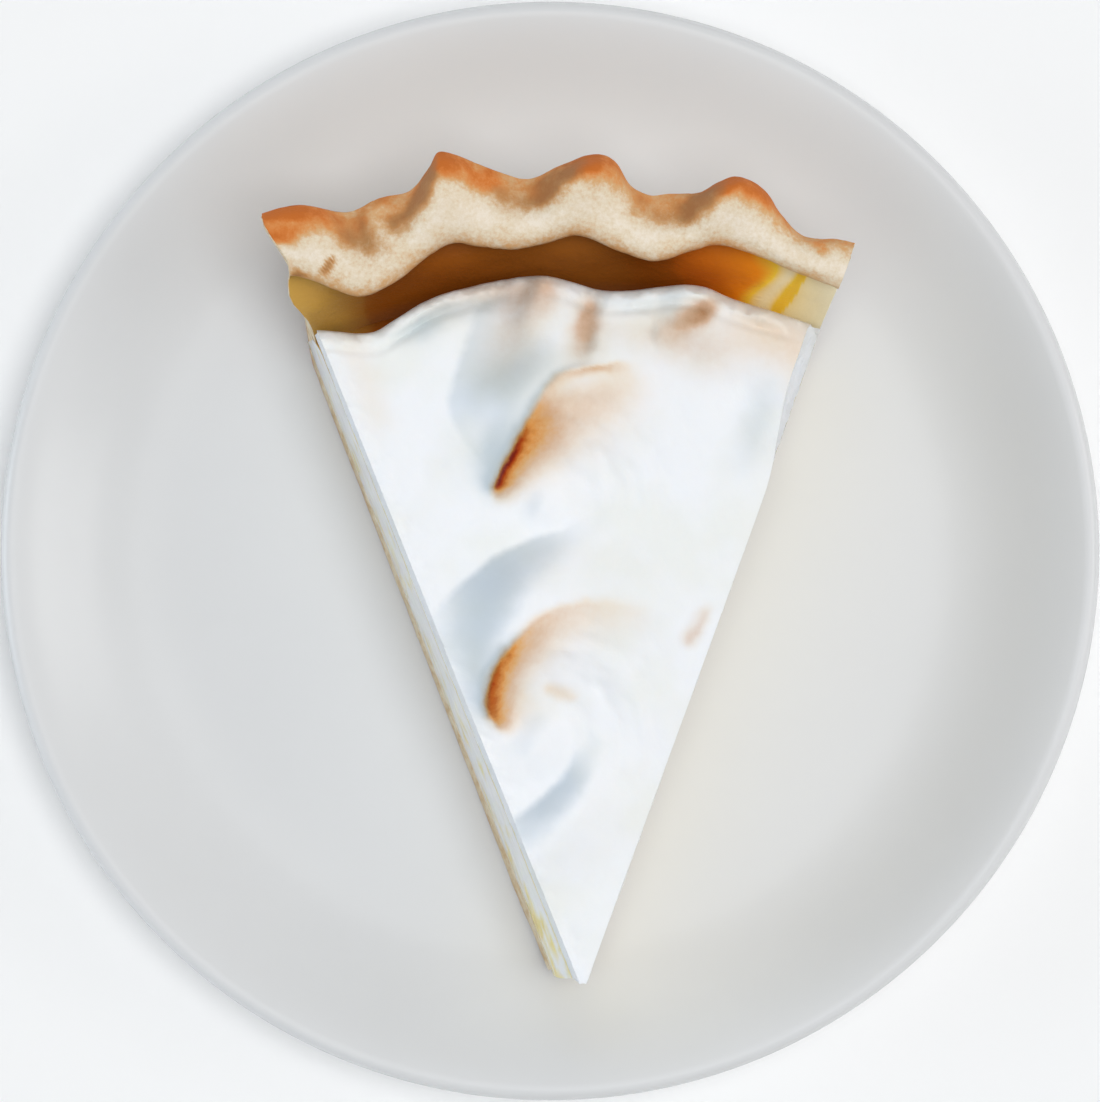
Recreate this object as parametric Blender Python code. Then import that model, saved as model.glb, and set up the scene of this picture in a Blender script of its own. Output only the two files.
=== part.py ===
"""A slice of lemon meringue pie on a white porcelain plate.

One eighth of a fluted pie lies on a small coupe plate: a pastry shell with a crimped rim, a lemon filling
and a swirled meringue top, each a layer that runs through the slice to both cuts.
Units are metres and +Z is up. The origin is the middle of the plate's foot ring, on the table.
"""

import functools
import math

import bmesh
import bpy
import numpy as np

MM = 0.001

# Fit between neighbouring solids, and between the filling and the slope of the wall
GAP = 0.3 * MM
WALL_GAP = 0.36 * MM

# Plate
PLATE_RADIUS = 90 * MM
PLATE_SEGMENTS = 72
WELL_RADIUS = 60 * MM
WELL_TOP = 7 * MM
RIM_RISE = 11 * MM
RIM_SKEW = 1.5
RIM_STEPS = 8
PLATE_THICKNESS = 4 * MM
LIP_INSET = 2 * MM
FOOT_HEIGHT = 2.2 * MM
FOOT_OUTER = 52 * MM
FOOT_INNER = 48 * MM
FOOT_DRAFT = 1 * MM

# Slice: the pie's centre is the origin of the slice's own frame, and its middle runs along local +Y
PIE_CENTRE = (5.3 * MM, -70.4 * MM)
SLICE_TURN = math.radians(1.0)
HALF_ANGLE = math.radians(20.85)
TIP_RADIUS = 1.4 * MM

# Heights of the layers above the table
CRUST_BOTTOM = WELL_TOP + GAP
CRUST_FLOOR = CRUST_BOTTOM + 4 * MM
FILLING_BOTTOM = CRUST_FLOOR + GAP
FILLING_TOP = 25.5 * MM
MERINGUE_BOTTOM = FILLING_TOP + GAP
MERINGUE_TIP_TOP = 35 * MM
MERINGUE_BACK_TOP = 39 * MM
MERINGUE_LEVEL_RADIUS = 70 * MM

# How far the left cut stands out at its foot, with a flare that grows downwards
LEAN_TIP = 5.6 * MM
LEAN_BACK = 4.0 * MM
LEAN_LENGTH = 110 * MM
LEAN_FLARE = 1.5

# The right cut falls outwards only at the meringue's back corner
RIGHT_LIP = 2.6 * MM
RIGHT_LIP_START = 84 * MM
RIGHT_LIP_LENGTH = 22 * MM

# Pastry shell, as radii from the pie's centre
FLOOR_RADIUS = 95 * MM
WALL_FOOT_INNER = 106 * MM
WALL_FOOT_OUTER = 110.5 * MM
WALL_TOP_INNER = 120.2 * MM
WALL_TOP_OUTER = 124.2 * MM
WALL_TOP = 36.5 * MM
FOOT_FILLET = 4 * MM
INSIDE_STEPS = (CRUST_FLOOR + FOOT_FILLET, FILLING_TOP, 32 * MM)
OUTSIDE_STEPS = (30 * MM, 18 * MM, CRUST_BOTTOM + FOOT_FILLET / 2)
TIP_CHAMFER_LENGTH = 15 * MM
TIP_CHAMFER_RISE = 2 * MM

# Crimped rim
RIM_TOP = 42 * MM
CRIMP_FOOT = 34.5 * MM
CRIMP_FADE = 4 * MM
CRUST_SECTIONS = 61

# The rim's section, from under its inner edge to under its outer edge: share of the way out, depth in mm
RIM_SECTION = (
    (0.01, 4.0),
    (0, 2.4),
    (0.12, 0.8),
    (0.32, 0),
    (0.55, 0),
    (0.76, 0.3),
    (0.91, 1.4),
    (1, 3.2),
    (0.97, 5.0),
    (0.84, 6.2),
)

# Where the wall runs into the rim
NECK_INSIDE = 1.4 * MM
NECK_INNER = 118.7 * MM
NECK_OUTER_TOP = 35 * MM

# Edges of the rim seen from above, from the left cut to the right one: angle in degrees, radius in mm
RIM_OUTSIDE = (
    (24.0, 134.4),
    (21.1, 133.9),
    (18.7, 133.0),
    (15.9, 129.8),
    (13.3, 130.4),
    (11.1, 130.6),
    (9.5, 133.4),
    (8.5, 135.4),
    (6.1, 132.6),
    (4.5, 130.8),
    (2.7, 129.7),
    (0.6, 131.5),
    (-1.1, 133.0),
    (-2.1, 133.2),
    (-3.2, 132.2),
    (-4.3, 128.6),
    (-5.7, 127.3),
    (-7.1, 127.8),
    (-9.2, 128.5),
    (-10.5, 130.7),
    (-11.8, 131.9),
    (-13.7, 130.7),
    (-15.1, 127.9),
    (-16.8, 125.6),
    (-18.3, 125.6),
    (-20.1, 126.6),
    (-24.0, 127.4),
)
RIM_INSIDE = (
    (24.0, 124.0),
    (20.5, 122.8),
    (18.4, 118.6),
    (16.4, 116.1),
    (13.4, 117.1),
    (10.7, 119.8),
    (8.7, 120.9),
    (6.9, 119.8),
    (4.3, 118.7),
    (1.9, 119.3),
    (-0.7, 120.3),
    (-3.8, 118.0),
    (-6.6, 116.9),
    (-9.2, 119.1),
    (-11.3, 120.8),
    (-14.5, 120.3),
    (-17.8, 119.3),
    (-24.0, 118.8),
)

# Crimps of the rim: ridges that run in from each peak, and the scoops to their left. Each point of a line
# holds x, y, height, reach to the left of the line's direction and reach to its right, in millimetres.
CRIMPS = {
    "ear": (
        (-46.0, 124.0, 1.6, 4.0, 3.0),
        (-42.0, 123.0, 0.8, 3.0, 3.0),
    ),
    "left_scoop": (
        (-35.4, 125.0, -1.6, 3.0, 3.0),
        (-33.6, 121.0, -2.0, 2.6, 3.4),
        (-31.4, 118.6, -0.8, 2.4, 3.0),
    ),
    "first_scoop": (
        (-24.8, 127.4, -1.6, 2.4, 3.0),
        (-27.4, 123.4, -1.8, 2.4, 3.4),
    ),
    "first_ridge": (
        (-20.4, 132.4, 2.8, 5.0, 1.8),
        (-21.4, 127.4, 2.8, 5.0, 2.2),
        (-23.6, 122.4, 1.0, 5.0, 2.6),
    ),
    "second_scoop": (
        (-12.6, 127.4, -0.8, 3.4, 3.0),
        (-7.4, 127.0, -2.2, 3.0, 3.4),
        (-3.6, 126.4, -1.2, 2.0, 3.0),
    ),
    "second_ridge": (
        (4.0, 130.6, 3.0, 4.4, 2.0),
        (0.6, 128.6, 2.6, 4.6, 2.2),
        (-2.0, 124.4, 1.0, 4.4, 2.6),
    ),
    "third_scoop": (
        (10.4, 124.8, -1.0, 2.8, 3.0),
        (15.4, 124.0, -2.4, 2.8, 3.4),
        (18.8, 122.4, -1.4, 2.0, 3.0),
    ),
    "third_ridge": (
        (27.0, 127.6, 3.0, 4.8, 2.2),
        (22.4, 125.0, 2.4, 4.6, 2.2),
        (20.4, 121.4, 1.0, 4.4, 2.6),
    ),
    "right_scoop": (
        (36.0, 120.4, -1.4, 3.0, 2.4),
        (40.4, 118.0, -0.6, 3.0, 2.4),
    ),
}

# Back edge of the meringue: angle in degrees, radius in mm
BACK_EDGE = (
    (24.0, 116.6),
    (20.6, 113.6),
    (17.0, 110.5),
    (14.5, 111.2),
    (10.5, 113.3),
    (2.1, 114.3),
    (-4.0, 111.9),
    (-10.8, 114.4),
    (-15.0, 113.4),
    (-24.0, 113.3),
)
BACK_ROUNDING = 5 * MM
BACK_DROP = 3.4 * MM
BACK_UNDERCUT = 2 * MM

# Facets of the meringue's top, whose rows run from the tip to the back
MERINGUE_CELL = 1.5 * MM
MERINGUE_LENGTH = 113 * MM

# Spoon strokes in the meringue, in the form of the crimps
STROKES = {
    "back_mound": (
        (-4.0, 112.0, 1.8, 7.0, 7.0),
        (5.0, 104.0, 2.0, 10.0, 8.0),
        (14.0, 94.0, 2.0, 14.0, 11.0),
        (22.0, 82.0, 1.4, 16.0, 14.0),
    ),
    "back_peak": (
        (-4.4, 112.4, 0.9, 2.4, 2.4),
        (-6.6, 107.4, 0.7, 3.0, 2.4),
    ),
    "hollow": (
        (2.6, 110.4, -0.8, 2.0, 2.2),
        (2.0, 105.0, -1.3, 2.0, 2.6),
        (1.4, 102.0, -0.8, 2.0, 2.6),
    ),
    "right_mound": (
        (19.4, 110.4, 1.4, 5.0, 5.0),
        (24.5, 105.4, 1.8, 6.0, 6.0),
        (28.0, 99.0, 0.8, 7.0, 7.0),
    ),
    "right_end": (
        (31.0, 108.0, 1.2, 4.0, 4.0),
        (35.0, 100.0, 1.0, 4.0, 4.0),
    ),
    "right_hollow": (
        (28.0, 94.0, -1.3, 5.0, 4.0),
        (31.6, 88.0, -1.9, 5.5, 4.0),
    ),
    "upper_curl": (
        (12.4, 98.4, 0.5, 9.0, 4.0),
        (6.4, 99.2, 1.6, 11.0, 4.0),
        (0.4, 98.2, 2.6, 12.0, 4.6),
        (-3.4, 95.8, 3.4, 10.0, 6.0),
        (-6.3, 91.1, 4.2, 7.0, 6.4),
        (-8.9, 86.5, 4.4, 4.8, 5.4),
        (-10.6, 83.3, 3.8, 3.2, 4.0),
        (-11.8, 80.8, 2.8, 2.2, 2.6),
    ),
    "upper_bulb": (
        (-3.9, 78.6, 1.7, 3.0, 3.0),
        (-4.7, 77.2, 1.7, 3.0, 3.0),
    ),
    "middle_mound": (
        (24.0, 72.0, 1.4, 12.0, 14.0),
        (12.0, 70.0, 1.6, 12.0, 12.0),
        (2.0, 69.0, 0.8, 8.0, 6.0),
    ),
    "lower_curl": (
        (20.0, 59.0, 1.0, 13.0, 7.0),
        (9.9, 60.4, 2.4, 14.0, 7.0),
        (3.6, 61.2, 3.4, 12.0, 7.0),
        (-1.1, 60.6, 4.2, 11.0, 7.0),
        (-5.8, 58.7, 4.9, 9.0, 7.0),
        (-9.5, 55.2, 5.2, 7.0, 6.4),
        (-12.0, 52.2, 4.9, 5.0, 5.4),
        (-13.3, 48.8, 4.2, 3.8, 4.0),
        (-13.5, 45.9, 3.2, 3.0, 3.0),
    ),
    "lower_bulb": (
        (-4.2, 42.0, 2.0, 4.2, 4.2),
        (-6.4, 39.0, 1.8, 4.2, 4.2),
    ),
    "tip_mound": (
        (9.0, 46.0, 1.4, 7.0, 8.0),
        (6.0, 34.0, 1.2, 5.5, 7.0),
        (1.0, 24.0, 1.0, 4.5, 5.0),
        (-3.0, 21.0, 0.8, 4.0, 4.0),
    ),
}

# Crisp hollows that the spoon's edge left: x, y, height of the swell to the left, distance to its crest
CREASES = {
    "left_crease": (
        (-13.6, 112.4, 0.4, 7.0),
        (-17.0, 104.0, 3.3, 10.0),
        (-19.8, 95.6, 4.1, 11.0),
        (-18.8, 90.0, 3.1, 9.0),
        (-15.6, 85.9, 0.5, 6.0),
    ),
    "right_crease": (
        (14.0, 109.6, 0.5, 3.0),
        (12.4, 105.6, 1.2, 3.6),
        (13.4, 101.6, 1.0, 4.0),
        (18.6, 98.8, 0.2, 4.0),
    ),
    "upper_groove": (
        (2.4, 76.4, 0.2, 3.0),
        (-4.8, 73.2, 2.0, 4.0),
        (-12.0, 70.3, 3.1, 5.0),
        (-17.7, 66.1, 2.8, 5.4),
        (-24.0, 60.0, 0.4, 5.0),
    ),
    "lower_groove": (
        (-0.5, 41.0, 0.3, 3.0),
        (-2.5, 35.2, 2.3, 3.8),
        (-6.7, 31.0, 3.0, 4.2),
        (-11.5, 27.6, 1.4, 4.2),
    ),
}

# How nearly the bumps along a stroke join as their plain maximum
BUMP_POWER = 6


def smoothstep(t):
    t = min(max(t, 0.0), 1.0)
    return t * t * (3 - 2 * t)


def mix(a, b, share):
    return a + (b - a) * share


def through(points, steps):
    """A smooth line through the points, with the given number of steps from each to the next."""
    points = np.asarray(points, float)
    padded = np.concatenate((2 * points[:1] - points[1:2], points, 2 * points[-1:] - points[-2:-1]))
    line = []
    for a, b, c, d in zip(padded, padded[1:], padded[2:], padded[3:]):
        for t in np.arange(steps) / steps:
            curve = 2 * b + (c - a) * t + (2 * a - 5 * b + 4 * c - d) * t**2
            line.append((curve + (3 * b - 3 * c + d - a) * t**3) / 2)
    line.append(points[-1])
    return np.array(line)


@functools.cache
def table_line(table):
    """A table's values, eased between its rows."""
    return through(table, 8)


def table_lookup(table, angle):
    """Smooth value of a table at the angle in degrees, which falls down its first column."""
    line = table_line(table)
    return float(np.interp(-angle, -line[:, 0], line[:, 1])) * MM


def stroke_line(crest):
    """Places close together along a stroke, with the direction there and the length that each stands for."""
    crest = np.array(crest)
    longest = np.hypot(*np.diff(crest[:, :2], axis=0).T).max()
    line = through(crest, max(4, math.ceil(longest / (0.4 * crest[:, 3:].min()))))
    ways = np.gradient(line[:, :2], axis=0)
    steps = np.hypot(*ways.T)
    return line, ways / steps[:, None], steps


def stroke_sum(lines, x, y):
    """Soft ridges and hollows at a point, each the smooth maximum of round bumps all along its line."""
    total = 0
    for line, ways, steps in lines:
        off_x, off_y = x / MM - line[:, 0], y / MM - line[:, 1]
        away = np.hypot(off_x, off_y) + 1e-6
        side = (ways[:, 0] * off_y - ways[:, 1] * off_x) / away
        reach = mix(line[:, 4], line[:, 3], (side + 1) / 2)
        bumps = np.abs(line[:, 2]) * np.exp(-((away / reach) ** 2))
        power = (steps / reach * bumps**BUMP_POWER).sum() * math.sqrt(BUMP_POWER / math.pi)
        total += math.copysign(power ** (1 / BUMP_POWER), line[len(line) // 2, 2])
    return total * MM


def crease_sum(lines, x, y):
    """Swells that rise in a straight slope from a crisp line, on its left, and sink softly behind."""
    total = 0
    for line, ways, _ in lines:
        off_x, off_y = x / MM - line[:, 0], y / MM - line[:, 1]
        weights = (off_x**2 + off_y**2 + 0.1) ** -3
        away = np.average(ways[:, 0] * off_y - ways[:, 1] * off_x, weights=weights)
        height, reach = np.average(line[:, 2:], axis=0, weights=weights)
        distance = weights.sum() ** (-1 / 6)
        rise = 1.3 * max(away, 0) / reach
        total += height * rise * math.exp(-((distance / (1.4 * reach)) ** 3))
    return total * MM


def material(name, colour, roughness):
    made = bpy.data.materials.new(name)
    made.use_nodes = True
    shader = made.node_tree.nodes["Principled BSDF"]
    shader.inputs["Base Color"].default_value = (*colour, 1)
    shader.inputs["Roughness"].default_value = roughness
    shader.inputs["Metallic"].default_value = 0
    return made


def add_object(name, bm, surface, parent=None, crease=math.radians(35)):
    """Turns the bmesh into a named object with closed, outward faces."""
    bmesh.ops.recalc_face_normals(bm, faces=bm.faces)
    mesh = bpy.data.meshes.new(name)
    bm.to_mesh(mesh)
    bm.free()
    mesh.shade_smooth()
    mesh.set_sharp_from_angle(angle=crease)
    mesh.materials.append(surface)
    made = bpy.data.objects.new(name, mesh)
    made.parent = parent
    bpy.context.scene.collection.objects.link(made)


def plate_top(radius):
    """Height of the plate's upper surface: a flat well, then a rim that rises and levels off at the edge."""
    t = max(radius - WELL_RADIUS, 0) / (PLATE_RADIUS - WELL_RADIUS)
    return WELL_TOP + RIM_RISE * smoothstep(t**RIM_SKEW)


def plate_profile():
    """The plate's half section, from the middle of the well round the lip and back under it."""
    lip_radius = PLATE_RADIUS - LIP_INSET
    rim = [mix(WELL_RADIUS, lip_radius, (i + 1) / RIM_STEPS) for i in range(RIM_STEPS)]
    well = [(0, WELL_TOP), (WELL_RADIUS / 2, WELL_TOP), (WELL_RADIUS, WELL_TOP)]
    top = well + [(r, plate_top(r)) for r in rim]
    lip_middle = plate_top(lip_radius) - PLATE_THICKNESS / 2
    lip = []
    for degrees in (60, 0, -60):
        turn = math.radians(degrees)
        radius = lip_radius + LIP_INSET * math.cos(turn)
        lip.append((radius, lip_middle + PLATE_THICKNESS / 2 * math.sin(turn)))
    under = [(r, plate_top(r) - PLATE_THICKNESS) for r in reversed(rim[1::2])]
    foot = [
        (FOOT_OUTER + FOOT_DRAFT, FOOT_HEIGHT),
        (FOOT_OUTER, 0),
        (FOOT_INNER, 0),
        (FOOT_INNER - FOOT_DRAFT, FOOT_HEIGHT),
        (0, FOOT_HEIGHT),
    ]
    return top + lip + under + foot


def build_plate():
    bm = bmesh.new()
    line = [bm.verts.new((x, 0, z)) for x, z in plate_profile()]
    edges = [bm.edges.new(pair) for pair in zip(line, line[1:])]
    bmesh.ops.spin(
        bm,
        geom=line + edges,
        axis=(0, 0, 1),
        cent=(0, 0, 0),
        steps=PLATE_SEGMENTS,
        angle=math.tau,
    )
    bmesh.ops.remove_doubles(bm, verts=bm.verts, dist=0.001 * MM)
    add_object("plate", bm, material("porcelain", (0.86, 0.86, 0.85), 0.18))


def plain_top(radius):
    """Height of the meringue before its swirls, a little lower at the tip."""
    share = smoothstep(radius / MERINGUE_LEVEL_RADIUS)
    return mix(MERINGUE_TIP_TOP, MERINGUE_BACK_TOP, share)


def left_lean(radius, height):
    """How far the left cut stands out to the left at this distance from the pie's centre."""
    reach = mix(LEAN_TIP, LEAN_BACK, min(radius / LEAN_LENGTH, 1))
    below = (plain_top(radius) - height) / (plain_top(radius) - CRUST_BOTTOM)
    return reach * max(below, 0) ** LEAN_FLARE


def right_lip(radius, height):
    """How far the meringue's top edge stands back from the right cut."""
    along = smoothstep((radius - RIGHT_LIP_START) / RIGHT_LIP_LENGTH)
    up = (height - MERINGUE_BOTTOM) / (MERINGUE_BACK_TOP - MERINGUE_BOTTOM)
    return RIGHT_LIP * along * smoothstep(up)


def angle_at(across):
    """Angle from the slice's middle, from the right cut at 0 to the left cut at 1."""
    return HALF_ANGLE * (2 * across - 1)


def place(radius, across, height):
    """A point of the layers, with the cuts' lean shared out across the slice."""
    angle = angle_at(across)
    lean = across * left_lean(radius, height) + (1 - across) * right_lip(radius, height)
    return -radius * math.sin(angle) - lean, radius * math.cos(angle), height


def place_crust(radius, across, height):
    """A point of the pastry, whose cut leans out like the filling's and stands upright at the rim."""
    angle = angle_at(across)
    upright = smoothstep((height - FILLING_TOP) / (RIM_TOP - FILLING_TOP))
    lean = across * left_lean(radius, min(height, FILLING_TOP)) * (1 - upright)
    return -radius * math.sin(angle) - lean, radius * math.cos(angle), height


def inner_wall(height):
    """Radius of the wall's inner face."""
    share = (height - CRUST_FLOOR) / (WALL_TOP - CRUST_FLOOR)
    return mix(WALL_FOOT_INNER, WALL_TOP_INNER, share)


def outer_wall(height):
    """Radius of the wall's outer face."""
    share = (height - CRUST_BOTTOM) / (WALL_TOP - CRUST_BOTTOM)
    return mix(WALL_FOOT_OUTER, WALL_TOP_OUTER, share)


def crust_profile(angle):
    """The shell's section at this angle, from its floor up the inner wall, over the rim and down outside."""
    outer = table_lookup(RIM_OUTSIDE, math.degrees(angle))
    inner = table_lookup(RIM_INSIDE, math.degrees(angle))
    inside = [(FLOOR_RADIUS, CRUST_FLOOR), (WALL_FOOT_INNER - FOOT_FILLET / 2, CRUST_FLOOR)]
    inside += [(inner_wall(height), height) for height in INSIDE_STEPS]
    inside.append((max(inner + NECK_INSIDE, NECK_INNER), WALL_TOP))
    rim = [(mix(inner, outer, share), RIM_TOP - depth * MM) for share, depth in RIM_SECTION]
    outside = [(WALL_TOP_OUTER, NECK_OUTER_TOP)]
    outside += [(outer_wall(height), height) for height in OUTSIDE_STEPS]
    outside += [(WALL_FOOT_OUTER - FOOT_FILLET / 2, CRUST_BOTTOM), (FLOOR_RADIUS, CRUST_BOTTOM)]
    return inside + rim + outside


def crimped(point, lines):
    """The point with the rim's crimps raised and its scoops lowered."""
    x, y, z = point
    share = smoothstep((z - CRIMP_FOOT) / CRIMP_FADE)
    return x, y, z + share * stroke_sum(lines, x, y)


def build_crust(parent):
    """The shell's wall and rim are a band of sections, and its floor runs on from them to the tip."""
    bm = bmesh.new()
    crimps = [stroke_line(crest) for crest in CRIMPS.values()]
    sections = []
    for i in range(CRUST_SECTIONS):
        across = i / (CRUST_SECTIONS - 1)
        profile = crust_profile(angle_at(across))
        points = [crimped(place_crust(r, across, z), crimps) for r, z in profile]
        sections.append([bm.verts.new(point) for point in points])
    for right, left in zip(sections, sections[1:]):
        for j in range(len(right) - 1):
            bm.faces.new((right[j], right[j + 1], left[j + 1], left[j]))
    tip = {}
    for name, radius, height in (
        ("floor", TIP_RADIUS, CRUST_FLOOR),
        ("front", TIP_RADIUS, CRUST_BOTTOM + TIP_CHAMFER_RISE),
        ("chamfer", TIP_CHAMFER_LENGTH, CRUST_BOTTOM),
    ):
        tip[name] = [bm.verts.new(place_crust(radius, side, height)) for side in (0, 1)]
    bm.faces.new([section[0] for section in sections] + tip["floor"][::-1])
    bm.faces.new([section[-1] for section in sections] + tip["chamfer"][::-1])
    bm.faces.new(tip["floor"] + tip["front"][::-1])
    bm.faces.new(tip["front"] + tip["chamfer"][::-1])
    for side, section in ((0, sections[0]), (1, sections[-1])):
        bm.faces.new(section + [tip[name][side] for name in ("chamfer", "front", "floor")])
    bmesh.ops.triangulate(bm, faces=bm.faces)
    add_object("crust", bm, material("baked_pastry", (0.72, 0.49, 0.25), 0.7), parent)


def skin_loops(bm, loops):
    """Joins closed loops of equal length with side faces."""
    for low, high in zip(loops, loops[1:]):
        for j in range(len(low)):
            k = (j + 1) % len(low)
            bm.faces.new((low[j], low[k], high[k], high[j]))


def filling_outline(back_radius, side_steps=8, back_steps=28):
    """Points round the filling: up the right cut, round the back and down the left cut."""
    sides = [mix(TIP_RADIUS, back_radius, i / side_steps) for i in range(side_steps)]
    right = [(radius, 0) for radius in sides]
    back = [(back_radius, i / back_steps) for i in range(back_steps + 1)]
    left = [(radius, 1) for radius in reversed(sides)]
    return right + back + left


def build_filling(parent):
    """The lemon filling reaches the wall's slope all round, so its back widens upwards."""
    bm = bmesh.new()
    loops = []
    for height in (FILLING_BOTTOM, CRUST_FLOOR + FOOT_FILLET, FILLING_TOP):
        back = inner_wall(height) - WALL_GAP
        if height == FILLING_BOTTOM:
            back = WALL_FOOT_INNER - FOOT_FILLET / 2 - GAP
        outline = filling_outline(back)
        loops.append([bm.verts.new(place(r, across, height)) for r, across in outline])
    skin_loops(bm, loops)
    bm.faces.new(loops[0][::-1])
    bm.faces.new(loops[-1])
    bmesh.ops.triangulate(bm, faces=bm.faces)
    surface = material("lemon_filling", (0.90, 0.66, 0.07), 0.3)
    add_object("lemon_filling", bm, surface, parent)


def meringue_back(across):
    return table_lookup(BACK_EDGE, math.degrees(angle_at(across)))


def meringue_top(radius, across, strokes, creases):
    """Height of the swirled top, which rounds over at the back."""
    plain = plain_top(radius)
    x, y, _ = place(radius, across, plain)
    inset = min(max((meringue_back(across) - radius) / BACK_ROUNDING, 0), 1)
    drop = BACK_DROP * (1 - math.sqrt(1 - (1 - inset) ** 2))
    return plain + stroke_sum(strokes, x, y) + crease_sum(creases, x, y) - drop


def bridge_rows(bm, near, far):
    """Triangles between two rows that span the slice with different numbers of points."""
    i = j = 0
    while i < len(near) - 1 or j < len(far) - 1:
        next_near = (i + 1) / (len(near) - 1)
        next_far = (j + 1) / (len(far) - 1)
        if next_near < next_far:
            bm.faces.new((near[i], near[i + 1], far[j]))
            i += 1
        else:
            bm.faces.new((near[i], far[j + 1], far[j]))
            j += 1


def meringue_rows():
    """Each row's place between the tip at 0 and the back at 1, with its number of cells across."""
    rows = round(MERINGUE_LENGTH / MERINGUE_CELL)
    for i in range(rows + 1):
        share = i / rows
        width = 2 * HALF_ANGLE * mix(TIP_RADIUS, MERINGUE_LENGTH, share)
        yield share, max(2, round(width / MERINGUE_CELL))


def build_meringue(parent):
    """The swirled top is rows of facets from the tip to the back, and a skirt takes its edge to the filling."""
    bm = bmesh.new()
    strokes = [stroke_line(crest) for crest in STROKES.values()]
    creases = [stroke_line(crest) for crest in CREASES.values()]
    rows = []
    for share, cells in meringue_rows():
        row = []
        for j in range(cells + 1):
            across = j / cells
            radius = mix(TIP_RADIUS, meringue_back(across), share)
            top = meringue_top(radius, across, strokes, creases)
            row.append((radius, across, bm.verts.new(place(radius, across, top))))
        rows.append(row)
    for near, far in zip(rows, rows[1:]):
        bridge_rows(bm, [point[2] for point in near], [point[2] for point in far])
    edge = [row[0] for row in rows[:-1]]
    edge += rows[-1]
    edge += [row[-1] for row in reversed(rows[:-1])]
    edge += rows[0][-2:0:-1]
    loops = [[vert for _, _, vert in edge]]
    for share in (0.5, 0):
        loop = []
        for radius, across, vert in edge:
            height = mix(MERINGUE_BOTTOM, vert.co.z, share)
            at_back = radius > 0.999 * meringue_back(across)
            undercut = BACK_UNDERCUT * (1 - share) * at_back
            loop.append(bm.verts.new(place(radius - undercut, across, height)))
        loops.append(loop)
    skin_loops(bm, loops)
    bm.faces.new(loops[-1])
    bmesh.ops.triangulate(bm, faces=bm.faces)
    surface = material("toasted_meringue", (0.90, 0.88, 0.83), 0.55)
    add_object("meringue", bm, surface, parent, crease=math.radians(50))


def main():
    for stale in list(bpy.data.objects):
        bpy.data.objects.remove(stale)
    build_plate()
    pie_slice = bpy.data.objects.new("slice", None)
    pie_slice.location = (*PIE_CENTRE, 0)
    pie_slice.rotation_euler = (0, 0, SLICE_TURN)
    bpy.context.scene.collection.objects.link(pie_slice)
    build_crust(pie_slice)
    build_filling(pie_slice)
    build_meringue(pie_slice)


main()
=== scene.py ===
"""Looks of a slice of lemon meringue pie on a white porcelain plate.

The plate, pastry, filling and meringue are modelled again at fine scale over their solids. The slice is
worked out in millimetres in its own frame, with the pie's centre at the origin and the slice along +Y.
"""

import math

import bmesh
import bpy
import numpy as np
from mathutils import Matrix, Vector, noise


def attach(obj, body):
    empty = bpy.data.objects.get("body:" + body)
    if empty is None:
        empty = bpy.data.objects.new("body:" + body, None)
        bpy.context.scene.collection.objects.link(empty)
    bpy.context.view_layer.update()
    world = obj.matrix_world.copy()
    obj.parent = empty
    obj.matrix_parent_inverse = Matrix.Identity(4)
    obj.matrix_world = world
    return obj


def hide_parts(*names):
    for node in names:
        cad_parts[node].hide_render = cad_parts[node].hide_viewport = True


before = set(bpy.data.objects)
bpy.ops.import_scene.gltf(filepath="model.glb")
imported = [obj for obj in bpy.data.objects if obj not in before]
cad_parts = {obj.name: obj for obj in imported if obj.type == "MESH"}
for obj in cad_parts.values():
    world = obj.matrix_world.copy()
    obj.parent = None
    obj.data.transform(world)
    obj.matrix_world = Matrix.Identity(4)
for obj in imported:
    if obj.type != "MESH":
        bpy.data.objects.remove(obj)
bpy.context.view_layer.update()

MM = 0.001

# Camera straight above the plate: its height in metres, and its lens and sensor in millimetres
CAMERA_HEIGHT = 0.748
LENS = 146
SENSOR = 36

# Where the slice lies on the plate
PIE_CENTRE = np.array((5.3, -70.4))
SLICE_TURN = math.radians(1.0)
HALF_ANGLE = math.radians(20.85)
TIP_RADIUS = 1.4

# Heights of the layers
WELL_TOP = 7.0
CRUST_BOTTOM = 7.3
CRUST_FLOOR = 11.3
FILLING_TOP = 25.6
MERINGUE_TIP_TOP = 35.0
MERINGUE_BACK_TOP = 39.0
MERINGUE_LEVEL_RADIUS = 70.0
SEAM_WAVE = 0.45
BACK_SINK = 5.0
BACK_SINK_START = 110.0
BACK_SINK_LENGTH = 3.5

# Lean of the cuts
LEAN_TIP = 5.6
LEAN_BACK = 4.0
LEAN_LENGTH = 110.0
LEAN_FLARE = 1.5
RIGHT_LIP = 2.6
RIGHT_LIP_START = 84.0
RIGHT_LIP_LENGTH = 22.0

# Pastry shell
FLOOR_RADIUS = 95.0
WALL_FOOT_INNER = 106.0
WALL_FOOT_OUTER = 110.5
WALL_TOP_INNER = 120.2
WALL_TOP_OUTER = 124.2
WALL_TOP = 36.5
RIM_TOP = 42.0
CRIMP_FOOT = 34.5
CRIMP_FADE = 4.0
TIP_CHAMFER_LENGTH = 15.0
TIP_CHAMFER_RISE = 2.0

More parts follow.
